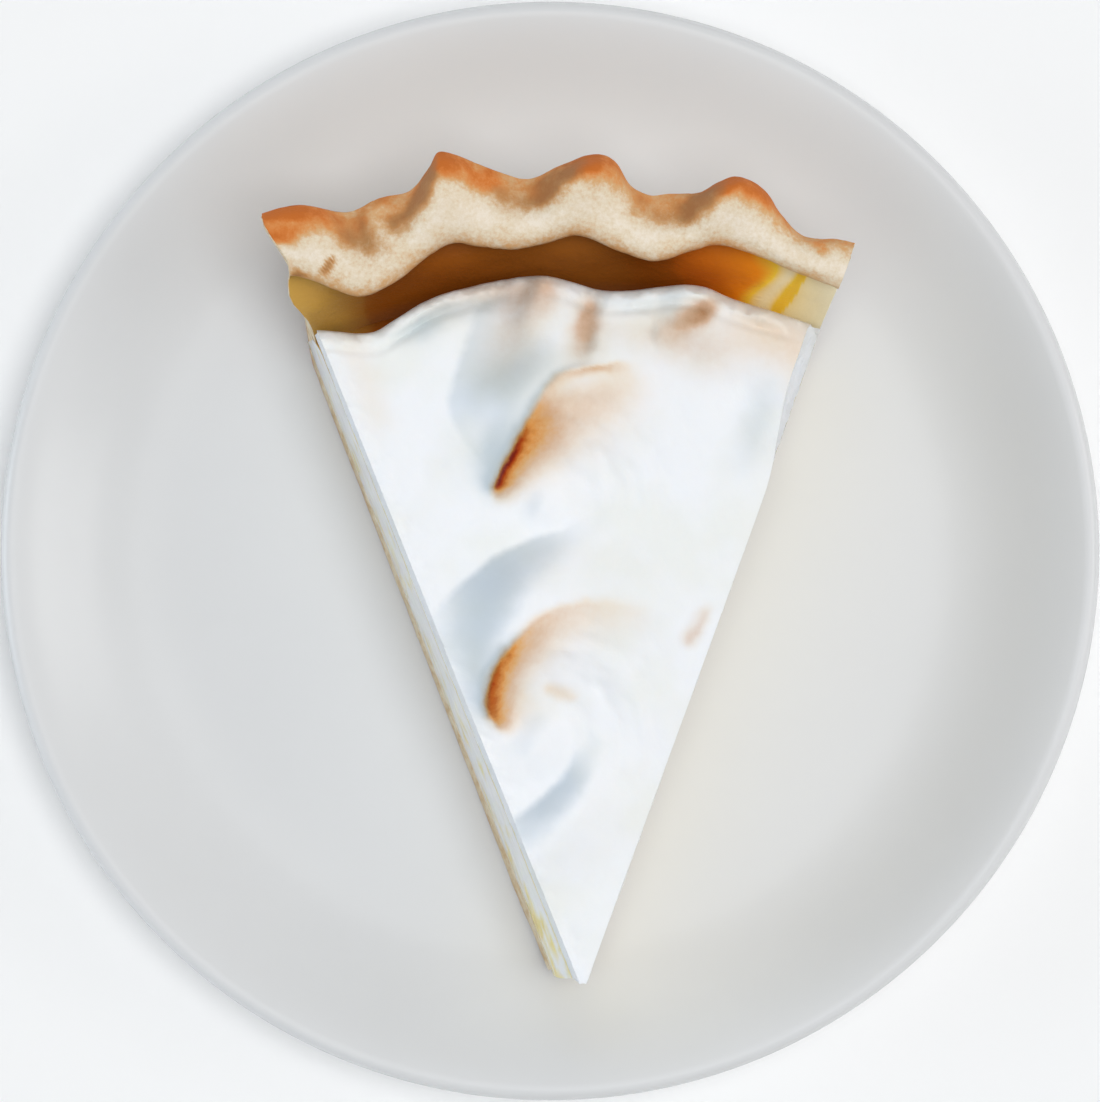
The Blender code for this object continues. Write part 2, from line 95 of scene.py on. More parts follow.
# Rim seen from above, from the left cut to the right one: angle in degrees, radius of its edge
RIM_OUTSIDE = np.array((
    (24.0, 134.4),
    (21.1, 133.9),
    (18.7, 133.0),
    (15.9, 129.8),
    (13.3, 130.4),
    (11.1, 130.6),
    (9.5, 133.4),
    (8.5, 135.4),
    (6.1, 132.6),
    (4.5, 130.8),
    (2.7, 129.7),
    (0.6, 131.5),
    (-1.1, 133.0),
    (-2.1, 133.2),
    (-3.2, 132.2),
    (-4.3, 128.6),
    (-5.7, 127.3),
    (-7.1, 127.8),
    (-9.2, 128.5),
    (-10.5, 130.7),
    (-11.8, 131.9),
    (-13.7, 130.7),
    (-15.1, 127.9),
    (-16.8, 125.6),
    (-18.3, 125.6),
    (-20.1, 126.6),
    (-24.0, 127.4),
))
RIM_INSIDE = np.array((
    (24.0, 124.0),
    (20.5, 122.8),
    (18.4, 118.6),
    (16.4, 116.1),
    (13.4, 117.1),
    (10.7, 119.8),
    (8.7, 120.9),
    (6.9, 119.8),
    (4.3, 118.7),
    (1.9, 119.3),
    (-0.7, 120.3),
    (-3.8, 118.0),
    (-6.6, 116.9),
    (-9.2, 119.1),
    (-11.3, 120.8),
    (-14.5, 120.3),
    (-17.8, 119.3),
    (-24.0, 118.8),
))

# Crimps of the rim: ridges that run in from each peak, and the scoops to their left
CRIMPS = {
    "ear": (
        (-46.0, 124.0, 1.6, 4.0, 3.0),
        (-42.0, 123.0, 0.8, 3.0, 3.0),
    ),
    "left_scoop": (
        (-35.4, 125.0, -1.6, 3.0, 3.0),
        (-33.6, 121.0, -2.0, 2.6, 3.4),
        (-31.4, 118.6, -0.8, 2.4, 3.0),
    ),
    "first_scoop": (
        (-24.8, 127.4, -1.6, 2.4, 3.0),
        (-27.4, 123.4, -1.8, 2.4, 3.4),
    ),
    "first_ridge": (
        (-20.4, 132.4, 2.8, 5.0, 1.8),
        (-21.4, 127.4, 2.8, 5.0, 2.2),
        (-23.6, 122.4, 1.0, 5.0, 2.6),
    ),
    "second_scoop": (
        (-12.6, 127.4, -0.8, 3.4, 3.0),
        (-7.4, 127.0, -2.2, 3.0, 3.4),
        (-3.6, 126.4, -1.2, 2.0, 3.0),
    ),
    "second_ridge": (
        (4.0, 130.6, 3.0, 4.4, 2.0),
        (0.6, 128.6, 2.6, 4.6, 2.2),
        (-2.0, 124.4, 1.0, 4.4, 2.6),
    ),
    "third_scoop": (
        (10.4, 124.8, -1.0, 2.8, 3.0),
        (15.4, 124.0, -2.4, 2.8, 3.4),
        (18.8, 122.4, -1.4, 2.0, 3.0),
    ),
    "third_ridge": (
        (27.0, 127.6, 3.0, 4.8, 2.2),
        (22.4, 125.0, 2.4, 4.6, 2.2),
        (20.4, 121.4, 1.0, 4.4, 2.6),
    ),
    "right_scoop": (
        (36.0, 120.4, -1.4, 3.0, 2.4),
        (40.4, 118.0, -0.6, 3.0, 2.4),
    ),
}

# Browning of the rim, partly painted shade on the crimps' left flanks, in the scoops and at a slit and a
# hole at the left end: x, y, amount from 0 to 1, reach to the left of the stroke's direction, to its right
BROWNED_AND_SHADED = {
    "ear": (
        (-48.0, 123.8, 0.80, 2.2, 2.4),
        (-45.0, 124.3, 0.78, 1.9, 2.4),
        (-41.6, 124.8, 0.44, 1.6, 2.4),
    ),
    "ear_side": (
        (-46.8, 121.3, 0.60, 0.9, 0.9),
        (-43.4, 120.9, 0.55, 0.9, 0.9),
    ),
    "ear_fade": (
        (-41.0, 124.4, 0.22, 3.0, 3.0),
        (-37.0, 123.4, 0.26, 3.0, 3.0),
    ),
    "left_scoop": (
        (-35.2, 125.6, 0.52, 2.2, 2.2),
        (-33.8, 121.6, 0.64, 2.4, 2.4),
        (-31.6, 118.4, 0.42, 2.2, 1.8),
    ),
    "left_back": (
        (-33.0, 126.4, 0.34, 2.4, 1.6),
        (-28.6, 127.6, 0.34, 2.4, 1.6),
    ),
    "first_flank": (
        (-27.5, 122.4, 0.60, 1.7, 1.4),
        (-25.2, 125.1, 0.58, 1.9, 1.6),
        (-22.6, 128.9, 0.62, 1.8, 1.6),
        (-20.6, 132.4, 0.72, 1.6, 1.6),
    ),
    "first_tip": (
        (-20.4, 132.8, 0.66, 2.0, 1.8),
        (-17.2, 131.0, 0.56, 1.8, 1.6),
        (-13.4, 129.2, 0.40, 1.8, 1.8),
    ),
    "second_scoop": (
        (-13.0, 128.4, 0.34, 2.4, 2.2),
        (-8.6, 126.8, 0.42, 2.4, 2.4),
        (-4.4, 126.6, 0.52, 2.4, 1.8),
    ),
    "second_flank": (
        (-4.6, 127.2, 0.40, 1.8, 1.6),
        (-0.9, 129.6, 0.66, 1.9, 1.6),
        (2.8, 131.9, 0.76, 2.0, 2.0),
    ),
    "second_tip": (
        (2.8, 132.0, 0.68, 2.0, 2.4),
        (5.2, 131.2, 0.50, 2.0, 2.2),
        (7.2, 129.4, 0.26, 2.0, 2.0),
    ),
    "third_scoop": (
        (11.0, 125.4, 0.36, 2.0, 2.0),
        (15.6, 123.9, 0.42, 2.4, 2.2),
        (18.6, 123.0, 0.48, 2.2, 2.0),
    ),
    "third_flank": (
        (18.6, 123.6, 0.48, 1.8, 1.8),
        (21.4, 125.9, 0.66, 1.7, 1.8),
        (24.4, 128.2, 0.78, 1.6, 1.8),
    ),
    "third_tip": (
        (24.4, 128.6, 0.56, 1.8, 2.6),
        (27.4, 128.4, 0.58, 1.8, 3.0),
        (31.4, 126.0, 0.36, 1.8, 2.4),
    ),
    "right_shoulder": (
        (31.6, 126.0, 0.24, 2.0, 2.6),
        (35.2, 121.8, 0.18, 1.6, 1.8),
    ),
    "right_end": (
        (38.0, 120.4, 0.30, 1.2, 1.4),
        (40.4, 117.6, 0.34, 1.2, 1.4),
    ),
    # Painted shade for a slit in the pastry at the left end
    "slit": (
        (-37.8, 117.2, 0.80, 0.5, 0.5),
        (-38.3, 115.2, 0.90, 0.6, 0.6),
    ),
    # Painted shade for a small hole in the pastry at the left end
    "left_spot": (
        (-42.9, 115.0, 0.90, 0.8, 0.8),
        (-41.6, 114.8, 0.80, 0.6, 0.6),
    ),
}

# The duller, darker browned places, most of them in the shelter of the scoops and on the crimps' left
# flanks, partly the pastry's own browning and partly painted shade; and the brighter tips
DULL_AND_SHADED = (
    "left_scoop",
    "left_back",
    "left_spot",
    "slit",
    "first_flank",
    "second_scoop",
    "second_flank",
    "third_scoop",
    "third_flank",
)
BRIGHT = ("ear", "first_tip", "second_tip", "third_tip")

# Colour of the syrup behind the meringue, partly its own and partly painted shade: olive at the left end,
# darkest brown in the shaded middle of the gap, yellow towards its lit right end. Angle in degrees, share
# from brown at 0 to yellow at 1
SYRUP_AND_SHADE = np.array((
    (26.0, 0.0),
    (20.4, 0.02),
    (17.0, 0.10),
    (14.0, 0.15),
    (-6.0, 0.15),
    (-9.5, 0.34),
    (-12.0, 0.46),
    (-14.0, 0.62),
    (-15.0, 0.84),
    (-16.0, 0.97),
    (-16.9, 0.97),
    (-17.5, 0.84),
    (-18.2, 0.84),
    (-19.0, 0.98),
    (-26.0, 1.0),
))

# Back edge of the meringue
BACK_EDGE = np.array((
    (24.0, 116.6),
    (20.6, 113.6),
    (17.0, 110.5),
    (14.5, 111.2),
    (10.5, 113.3),
    (2.1, 114.3),
    (-4.0, 111.9),
    (-10.8, 114.4),
    (-15.0, 113.4),
    (-24.0, 113.3),
))
BACK_ROUNDING = 5.0
BACK_DROP = 3.4
BACK_UNDERCUT = 2.0

# Spoon strokes: x, y, height, reach to the left of the stroke's direction and reach to its right
STROKES = {
    "back_mound": (
        (-4.0, 112.0, 1.8, 7.0, 7.0),
        (5.0, 104.0, 2.0, 10.0, 8.0),
        (14.0, 94.0, 2.0, 14.0, 11.0),
        (22.0, 82.0, 1.4, 16.0, 14.0),
    ),
    "back_peak": (
        (-4.4, 112.4, 0.9, 2.4, 2.4),
        (-6.6, 107.4, 0.7, 3.0, 2.4),
    ),
    "hollow": (
        (2.6, 110.4, -0.8, 2.0, 2.2),
        (2.0, 105.0, -1.3, 2.0, 2.6),
        (1.4, 102.0, -0.8, 2.0, 2.6),
    ),
    "back_groove": (
        (-28.5, 105.0, -0.3, 0.8, 1.4),
        (-24.8, 106.5, -0.9, 0.9, 2.2),
        (-20.8, 109.0, -1.0, 0.9, 2.4),
        (-16.1, 110.0, -0.8, 0.9, 2.0),
        (-11.3, 110.9, -0.3, 1.0, 1.4),
    ),
    "back_fold": (
        (6.0, 108.6, 0.5, 1.4, 1.4),
        (11.6, 107.2, 0.6, 1.3, 1.6),
        (14.6, 104.0, 0.4, 1.2, 1.6),
    ),
    "right_mound": (
        (19.4, 110.4, 1.4, 5.0, 5.0),
        (24.5, 105.4, 1.8, 6.0, 6.0),
        (28.0, 99.0, 0.8, 7.0, 7.0),
    ),
    "right_end": (
        (31.0, 108.0, 1.2, 4.0, 4.0),
        (35.0, 100.0, 1.0, 4.0, 4.0),
    ),
    "right_hollow": (
        (28.0, 94.0, -1.8, 5.0, 4.0),
        (31.6, 88.0, -2.6, 5.5, 3.4),
    ),
    "upper_curl": (
        (12.4, 98.4, 0.5, 9.0, 4.0),
        (6.4, 99.2, 1.6, 11.0, 4.0),
        (0.4, 98.2, 2.6, 12.0, 4.6),
        (-3.4, 95.8, 3.4, 10.0, 6.0),
        (-6.3, 91.1, 4.2, 7.0, 6.4),
        (-8.9, 86.5, 4.4, 4.8, 5.4),
        (-10.6, 83.3, 3.8, 3.2, 4.0),
        (-11.8, 80.8, 2.8, 2.2, 2.6),
    ),
    "upper_lip": (
        (4.3, 99.3, 0.4, 1.6, 0.7),
        (-0.6, 98.4, 0.8, 2.0, 0.8),
        (-4.4, 94.9, 1.0, 2.4, 0.9),
        (-7.8, 88.9, 1.3, 2.6, 1.0),
        (-10.9, 83.3, 1.5, 2.0, 1.0),
        (-12.1, 80.7, 1.3, 1.3, 1.0),
    ),
    "upper_bulb": (
        (-3.9, 78.6, 1.7, 3.0, 3.0),
        (-4.7, 77.2, 1.7, 3.0, 3.0),
    ),
    "middle_mound": (
        (24.0, 72.0, 1.4, 12.0, 14.0),
        (12.0, 70.0, 1.6, 12.0, 12.0),
        (2.0, 69.0, 0.8, 8.0, 6.0),
    ),
    "lower_curl": (
        (20.0, 59.0, 1.0, 13.0, 7.0),
        (9.9, 60.4, 2.4, 14.0, 7.0),
        (3.6, 61.2, 3.4, 12.0, 7.0),
        (-1.1, 60.6, 4.2, 11.0, 7.0),
        (-5.8, 58.7, 4.9, 9.0, 7.0),
        (-9.5, 55.2, 5.2, 7.0, 6.4),
        (-12.0, 52.2, 4.9, 5.0, 5.4),
        (-13.3, 48.8, 4.2, 3.8, 4.0),
        (-13.5, 45.9, 3.2, 3.0, 3.0),
    ),
    "lower_lip": (
        (-5.8, 59.3, 0.6, 2.0, 0.8),
        (-9.5, 55.8, 1.2, 2.4, 0.9),
        (-12.2, 52.7, 1.6, 2.6, 1.0),
        (-13.7, 48.8, 1.8, 2.4, 1.0),
        (-13.8, 45.6, 1.6, 2.0, 1.0),
        (-12.9, 43.7, 1.2, 1.4, 1.0),
    ),
    "lower_bulb": (
        (-4.2, 42.0, 2.0, 4.2, 4.2),
        (-6.4, 39.0, 1.8, 4.2, 4.2),
    ),
    "tip_mound": (
        (9.0, 46.0, 1.4, 7.0, 8.0),
        (6.0, 34.0, 1.2, 5.5, 7.0),
        (1.0, 24.0, 1.0, 4.5, 5.0),
        (-3.0, 21.0, 0.8, 4.0, 4.0),
    ),
}

# Crisp hollows that the spoon's edge left: x, y, height of the swell to the left, distance to its crest
CREASES = {
    "left_crease": (
        (-13.6, 112.4, 0.4, 7.0),
        (-17.0, 104.0, 3.3, 10.0),
        (-19.8, 95.6, 4.1, 11.0),
        (-18.8, 90.0, 3.1, 9.0),
        (-15.6, 85.9, 0.5, 6.0),
    ),
    "right_crease": (
        (14.0, 109.6, 0.5, 3.0),
        (12.4, 105.6, 1.2, 3.6),
        (13.4, 101.6, 1.0, 4.0),
        (18.6, 98.8, 0.2, 4.0),
    ),
    "upper_groove": (
        (2.4, 76.4, 0.2, 3.0),
        (-4.8, 73.2, 2.0, 4.0),
        (-12.0, 70.3, 3.1, 5.0),
        (-17.7, 66.1, 2.8, 5.4),
        (-24.0, 60.0, 0.4, 5.0),
    ),
    "lower_groove": (
        (-0.5, 41.0, 0.3, 3.0),
        (-2.5, 35.2, 2.3, 3.8),
        (-6.7, 31.0, 3.0, 4.2),
        (-11.5, 27.6, 1.4, 4.2),
    ),
}
BUMP_POWER = 6

# Fine furrows around the end of each curl
SWEEP_CENTRES = ((-4.3, 77.8), (-5.4, 40.6))
STREAK_DEPTH = 0.50
STREAK_SIZE = 3.4

# Low relief of the meringue's top: heights and sizes of its swells, lumps near the edges and grain
SWELL_HEIGHT = 0.42
SWELL_SIZE = 9.0
LUMP_SIZE = 2.6
LUMP_REACH = 2.6
GRAIN_HEIGHT = 0.045
GRAIN_SIZE = 1.6

# Slope to the left at which a swirl's side is in full bluish painted shade, and the step that it is measured
# over
SHADE_SLOPE = 1.0
SHADE_STEP = 0.8

# Browning of the meringue, in the form of the strokes, with an amount from 0 to 1 in the place of the height
TOASTED = {
    "upper_curl": (
        (8.2, 99.7, 0.10, 1.6, 0.6),
        (4.3, 99.3, 0.30, 0.9, 0.5),
        (0.4, 98.7, 0.26, 0.9, 0.5),
        (-2.7, 97.4, 0.22, 1.3, 0.6),
        (-4.4, 94.9, 0.26, 2.0, 0.7),
        (-6.5, 91.1, 0.50, 4.2, 0.8),
        (-9.1, 86.5, 0.62, 4.2, 0.8),
        (-10.9, 83.3, 0.60, 3.4, 0.8),
        (-12.0, 80.9, 0.58, 2.5, 0.8),
    ),
    "upper_edge": (
        (-7.4, 89.6, 0.10, 0.9, 0.5),
        (-9.3, 86.4, 0.34, 0.8, 0.5),
        (-11.2, 83.2, 0.44, 0.9, 0.6),
        (-12.4, 80.8, 0.42, 0.9, 0.6),
    ),
    "upper_slope": (
        (8.0, 96.4, 0.14, 5.0, 3.0),
        (2.0, 93.0, 0.20, 6.0, 4.0),
        (-2.6, 87.6, 0.16, 4.0, 4.0),
    ),
    "right_corner": (
        (29.0, 105.0, 0.13, 5.0, 5.0),
        (36.0, 101.6, 0.15, 4.4, 4.4),
        (37.0, 96.0, 0.15, 3.0, 3.0),
    ),
    "lower_curl": (
        (9.9, 60.6, 0.06, 3.0, 1.5),
        (3.6, 61.7, 0.14, 4.6, 1.2),
        (-1.1, 61.1, 0.20, 4.8, 1.0),
        (-5.8, 59.3, 0.30, 4.8, 0.9),
        (-9.5, 55.8, 0.44, 4.4, 0.8),
        (-12.2, 52.7, 0.54, 4.0, 0.8),
        (-13.7, 48.8, 0.58, 4.2, 0.8),
        (-13.8, 45.6, 0.56, 4.0, 0.8),
        (-12.6, 43.4, 0.48, 2.6, 0.9),
    ),
    "lower_edge": (
        (-9.5, 55.8, 0.10, 0.9, 0.5),
        (-12.2, 52.7, 0.16, 1.2, 0.6),
        (-13.7, 48.8, 0.21, 1.4, 0.6),
        (-13.8, 45.6, 0.18, 1.3, 0.6),
        (-12.9, 43.6, 0.09, 1.0, 0.6),
    ),
    "lower_dash": (
        (-4.4, 48.4, 0.16, 1.2, 1.0),
        (-1.2, 47.4, 0.14, 1.2, 1.0),
    ),
    "left_corner": (
        (-36.0, 107.0, 0.08, 3.0, 3.0),
        (-31.0, 92.0, 0.06, 3.0, 3.0),
    ),
}

# Duller tan patches of the meringue, in the same form
TANNED = {
    "back_edge": (
        (-21.0, 109.6, 0.12, 1.8, 3.4),
        (-15.5, 111.6, 0.26, 1.8, 2.6),
        (-10.5, 112.0, 0.28, 2.0, 3.0),
        (-4.0, 112.6, 0.22, 2.0, 2.6),
    ),
    "back_fold": (
        (4.4, 105.6, 0.12, 3.0, 3.0),
        (9.2, 105.0, 0.15, 3.0, 3.0),
        (14.0, 104.6, 0.14, 3.0, 3.0),
    ),
    "upper_slope": (
        (-0.5, 95.4, 0.18, 1.6, 2.6),
        (-5.0, 91.6, 0.16, 1.0, 1.6),
    ),
    "back_peak": (
        (-4.0, 111.4, 0.32, 4.0, 4.0),
        (-8.6, 106.4, 0.31, 4.6, 4.6),
        (-11.6, 100.0, 0.15, 4.6, 4.6),
    ),
    "hollow": (
        (3.0, 109.6, 0.46, 1.7, 1.7),
        (2.2, 106.2, 0.58, 2.3, 2.1),
        (1.7, 102.4, 0.36, 2.4, 2.8),
    ),
    "back_spot": (
        (17.4, 106.2, 0.30, 2.4, 1.8),
        (20.8, 107.7, 0.80, 1.9, 1.5),
        (23.0, 109.5, 0.24, 1.4, 1.2),
    ),
    "right_mound": (
        (16.0, 104.0, 0.28, 4.6, 4.0),
        (22.0, 101.6, 0.27, 5.0, 4.4),
    ),
    "right_corner": (
        (29.0, 106.0, 0.16, 5.0, 5.0),
        (36.0, 102.0, 0.16, 4.4, 4.4),
    ),
    "upper_face": (
        (6.0, 95.0, 0.10, 3.0, 3.0),
        (-1.0, 92.0, 0.16, 3.0, 3.0),
        (-4.0, 87.0, 0.12, 3.0, 3.0),
    ),
    "right_mark": (
        (17.9, 56.0, 0.34, 1.4, 1.2),
        (20.1, 60.4, 0.26, 1.2, 1.2),
    ),
}

# Bluish shade painted into the meringue's colour in its hollows, in the same form
PAINTED_SHADE = {
    "back_groove": (
        (-28.5, 105.0, 0.22, 0.7, 1.6),
        (-24.8, 106.5, 0.72, 0.7, 2.6),
        (-20.8, 109.0, 0.70, 0.7, 2.4),
        (-16.1, 110.0, 0.50, 0.7, 1.8),
        (-11.3, 110.9, 0.20, 0.8, 1.4),
    ),
    "back_line": (
        (4.4, 110.0, 0.22, 0.9, 1.4),
        (10.9, 109.6, 0.34, 0.8, 1.4),
        (18.0, 110.6, 0.20, 0.8, 1.0),
    ),
    "right_hollow": (
        (30.4, 94.0, 0.30, 2.4, 3.0),
        (29.0, 89.6, 0.50, 2.4, 3.0),
        (27.0, 84.0, 0.20, 2.4, 3.0),
    ),
}

# Browning and tan of the meringue, and its painted bluish shade
TINTS_AND_PAINTED_SHADE = {"toast": TOASTED, "tan": TANNED, "shade": PAINTED_SHADE}

# Outward swell of the slice's left end, in millimetres, by distance from the pie's middle
LEFT_END = np.array((
    (136.5, 0.0),
    (134.5, 1.0),
    (132.0, 1.6),
    (128.4, 0.9),
    (125.2, 0.2),
    (123.4, 0.7),
    (121.4, 1.6),
    (119.4, 1.6),
    (117.4, 0.8),
    (115.0, 0.0),
))


def smoothstep(t):
    t = np.clip(t, 0.0, 1.0)
    return t * t * (3 - 2 * t)


def mix(a, b, share):
    return a + (b - a) * share


def table_lookup(table, angle):
    """Smooth values of a table at the angles, which fall down its first column."""
    line = through(table, 8)
    return np.interp(-np.asarray(angle, float), -line[:, 0], line[:, 1])


def roughness(points, size, seed, octaves=3):
    """Fractal noise between about -1 and 1 at points in millimetres, with features of the given size."""
    offset = Vector((seed * 17.3, seed * 5.1, seed * 9.7))
    values = [
        noise.fractal(Vector(p) / size + offset, 1.0, 2.0, octaves, noise_basis="PERLIN_ORIGINAL")
        for p in points
    ]
    return np.array(values)


def flat_roughness(x, y, size, seed, octaves=3):
    """The same noise at places seen from above."""
    return roughness(np.column_stack((x, y, 0 * x)), size, seed, octaves)


def to_plate(points):
    """Points of the slice's frame in millimetres, as metres in the part's frame."""
    cos, sin = math.cos(SLICE_TURN), math.sin(SLICE_TURN)
    x = PIE_CENTRE[0] + cos * points[:, 0] - sin * points[:, 1]
    y = PIE_CENTRE[1] + sin * points[:, 0] + cos * points[:, 1]
    return np.column_stack((x, y, points[:, 2])) * MM


def plain_top(radius):
    share = smoothstep(radius / MERINGUE_LEVEL_RADIUS)
    return mix(MERINGUE_TIP_TOP, MERINGUE_BACK_TOP, share)


def left_lean(radius, height):
    reach = mix(LEAN_TIP, LEAN_BACK, np.minimum(radius / LEAN_LENGTH, 1))
    below = (plain_top(radius) - height) / (plain_top(radius) - CRUST_BOTTOM)
    return reach * np.maximum(below, 0) ** LEAN_FLARE


def right_lip(radius, height):
    along = smoothstep((radius - RIGHT_LIP_START) / RIGHT_LIP_LENGTH)
    up = (height - FILLING_TOP) / (MERINGUE_BACK_TOP - FILLING_TOP)
    return RIGHT_LIP * along * smoothstep(up)


def angle_at(across):
    return HALF_ANGLE * (2 * across - 1)


def place(radius, across, height):
    """Points of the layers, with the cuts' lean shared out across the slice."""
    angle = angle_at(across)
    lean = across * left_lean(radius, height) + (1 - across) * right_lip(radius, height)
    return np.column_stack((-radius * np.sin(angle) - lean, radius * np.cos(angle), height))


def place_crust(radius, across, height):
    angle = angle_at(across)
    upright = smoothstep((height - FILLING_TOP) / (RIM_TOP - FILLING_TOP))
    lean = across * left_lean(radius, np.minimum(height, FILLING_TOP)) * (1 - upright)
    return np.column_stack((-radius * np.sin(angle) - lean, radius * np.cos(angle), height))


def inner_wall(height):
    share = (height - CRUST_FLOOR) / (WALL_TOP - CRUST_FLOOR)
    return mix(WALL_FOOT_INNER, WALL_TOP_INNER, share)


def outer_wall(height):
    share = (height - CRUST_BOTTOM) / (WALL_TOP - CRUST_BOTTOM)
    return mix(WALL_FOOT_OUTER, WALL_TOP_OUTER, share)


def through(points, steps):
    """A smooth line through the points, with the given number of steps from each to the next."""
    points = np.asarray(points, float)
    padded = np.concatenate((2 * points[:1] - points[1:2], points, 2 * points[-1:] - points[-2:-1]))
    line = []
    for a, b, c, d in zip(padded, padded[1:], padded[2:], padded[3:]):
        for t in np.arange(steps) / steps:
            curve = 2 * b + (c - a) * t + (2 * a - 5 * b + 4 * c - d) * t**2
            line.append((curve + (3 * b - 3 * c + d - a) * t**3) / 2)
    line.append(points[-1])
    return np.array(line)


def stroke_line(crest):
    """Places, close together along a stroke, with its direction and the length that each stands for."""
    crest = np.array(crest)
    longest = np.hypot(*np.diff(crest[:, :2], axis=0).T).max()
    line = through(crest, max(4, math.ceil(longest / (0.4 * crest[:, 3:].min()))))
    ways = np.gradient(line[:, :2], axis=0)
    steps = np.hypot(*ways.T)
    return zip(line, ways / steps[:, None], steps)


def stroke_sum(strokes, x, y):
    """Soft ridges and hollows, each the smooth maximum of round bumps all along its line."""
    total = np.zeros(x.shape)
    for crest in strokes.values():
        powers = np.zeros(x.shape)
        for (at_x, at_y, value, left, right), (way_x, way_y), step in stroke_line(crest):
            off_x, off_y = x - at_x, y - at_y
            away = np.hypot(off_x, off_y) + 1e-6
            side = (way_x * off_y - way_y * off_x) / away
            reach = mix(right, left, (side + 1) / 2)
            bump = abs(value) * np.exp(-((away / reach) ** 2))
            powers += step / reach * bump**BUMP_POWER
        height = (powers * math.sqrt(BUMP_POWER / math.pi)) ** (1 / BUMP_POWER)
        total += math.copysign(1, crest[1][2]) * height
    return total


def crease_sum(x, y):
    """Swells that rise in a straight slope from a crisp line, on its left, and sink softly behind."""
    total = np.zeros(x.shape)
    for crest in CREASES.values():
        weights, off, value, reach = (np.zeros(x.shape) for _ in range(4))
        for (at_x, at_y, here_value, here_reach), (way_x, way_y), _ in stroke_line(crest):
            off_x, off_y = x - at_x, y - at_y
            weight = (off_x**2 + off_y**2 + 0.1) ** -3
            weights += weight
            off += weight * (way_x * off_y - way_y * off_x)
            value += weight * here_value
            reach += weight * here_reach
        reach /= weights
        distance = weights ** (-1 / 6)
        rise = 1.3 * np.maximum(off / weights, 0) / reach
        total += value / weights * rise * np.exp(-((distance / (1.4 * reach)) ** 3))
    return total


def swirls(x, y):
    return stroke_sum(STROKES, x, y) + crease_sum(x, y)


def streaks(x, y):
    """Fine furrows that the spoon drew in arcs around the end of each curl."""
    total = np.zeros(x.shape)
    for centre_x, centre_y in SWEEP_CENTRES:
        radius = np.hypot(x - centre_x, y - centre_y)
        angle = np.arctan2(y - centre_y, x - centre_x)
        lines = flat_roughness(radius, 7.0 * angle, STREAK_SIZE, 3, 2)
        strength = smoothstep((radius - 5) / 5) * (1 - smoothstep((radius - 14) / 9))
        total += lines * strength * smoothstep(1.8 - np.abs(angle - 0.7) * 1.5)
    return total


def meringue_back(across):
    return table_lookup(BACK_EDGE, np.degrees(angle_at(across)))


def meringue_top(radius, across):
    plain = plain_top(radius)
    flat = place(radius, across, plain)
    x, y = flat[:, 0], flat[:, 1]
    inset = np.clip((meringue_back(across) - radius) / BACK_ROUNDING, 0, 1)
    drop = BACK_DROP * (1 - np.sqrt(1 - (1 - inset) ** 2))
    near_back = np.exp(-(((meringue_back(across) - radius) / LUMP_REACH) ** 2))
    near_left = np.exp(-((radius * HALF_ANGLE * 2 * (1 - across) / LUMP_REACH) ** 2))
    relief = flat_roughness(x, y, LUMP_SIZE, 71) * np.maximum(near_back, 0.5 * near_left)
    relief += STREAK_DEPTH * streaks(x, y)
    relief += SWELL_HEIGHT * flat_roughness(x, y, SWELL_SIZE, 1)
    relief += GRAIN_HEIGHT * flat_roughness(x, y, GRAIN_SIZE, 2)
    relief += back_bead(radius, across)
    return plain + swirls(x, y) + relief - drop


def shaded_side(x, y):
    """Share of bluish shade painted into the colour on the left side of each swirl, by how steeply it falls
    to the left.
    """
    step = SHADE_STEP
    rise = swirls(x + step, y - step / 2) - swirls(x - step, y + step / 2)
    return smoothstep(rise / (2 * step) / SHADE_SLOPE - 0.06)


def back_bead(radius, across):
    """A soft roll along most of the back edge, with a shallow crease in front of it."""
    inward = meringue_back(across) - radius
    wave = flat_roughness(30 * across, 0 * across, 3.0, 21, 2)
    strength = np.clip(0.6 + wave, 0, 1)
    roll = 0.8 * np.exp(-(((inward - 1.5) / 1.0) ** 2))
    return strength * (roll - 0.9 * np.exp(-(((inward - 3.2) / 0.8) ** 2)))


def swell_left_end(points):
    """The points moved out where the rim's and the syrup's left end bulges over the cut."""
    radius = np.hypot(points[:, 0], points[:, 1])
    angle = np.degrees(np.arctan2(-points[:, 0], points[:, 1]))
    share = smoothstep((angle - 18.5) / 3) * smoothstep((points[:, 2] - 26) / 6)
    out = share * table_lookup(LEFT_END, radius)
    return points - np.column_stack((out * np.cos(HALF_ANGLE), out * np.sin(HALF_ANGLE), 0 * out))


def seam(points):
    """Wave of the line where the meringue sits on the filling."""
    return SEAM_WAVE * roughness(points * (1, 1, 0), 7.0, 5, 2)


def bridge(near, far):
    """Triangles between two rows of vertex numbers that span the slice with different counts."""
    faces = []
    i = j = 0
    while i < len(near) - 1 or j < len(far) - 1:
        if (i + 1) / (len(near) - 1) < (j + 1) / (len(far) - 1):
            faces.append((near[i], near[i + 1], far[j]))
            i += 1
        else:
            faces.append((near[i], far[j + 1], far[j]))
            j += 1
    return faces


def fan_grid(length, cell):
    """Shares from tip to back and across the slice for a net of even cells, with its rows of numbers."""
    shares, acrosses, rows = [], [], []
    count = round(length / cell)
    start = 0
    for i in range(count + 1):
        share = i / count
        cells = max(3, round(2 * HALF_ANGLE * mix(TIP_RADIUS, length, share) / cell))
        shares += [share] * (cells + 1)
        acrosses += [j / cells for j in range(cells + 1)]
        rows.append(list(range(start, start + cells + 1)))
        start += cells + 1
    return np.array(shares), np.array(acrosses), rows


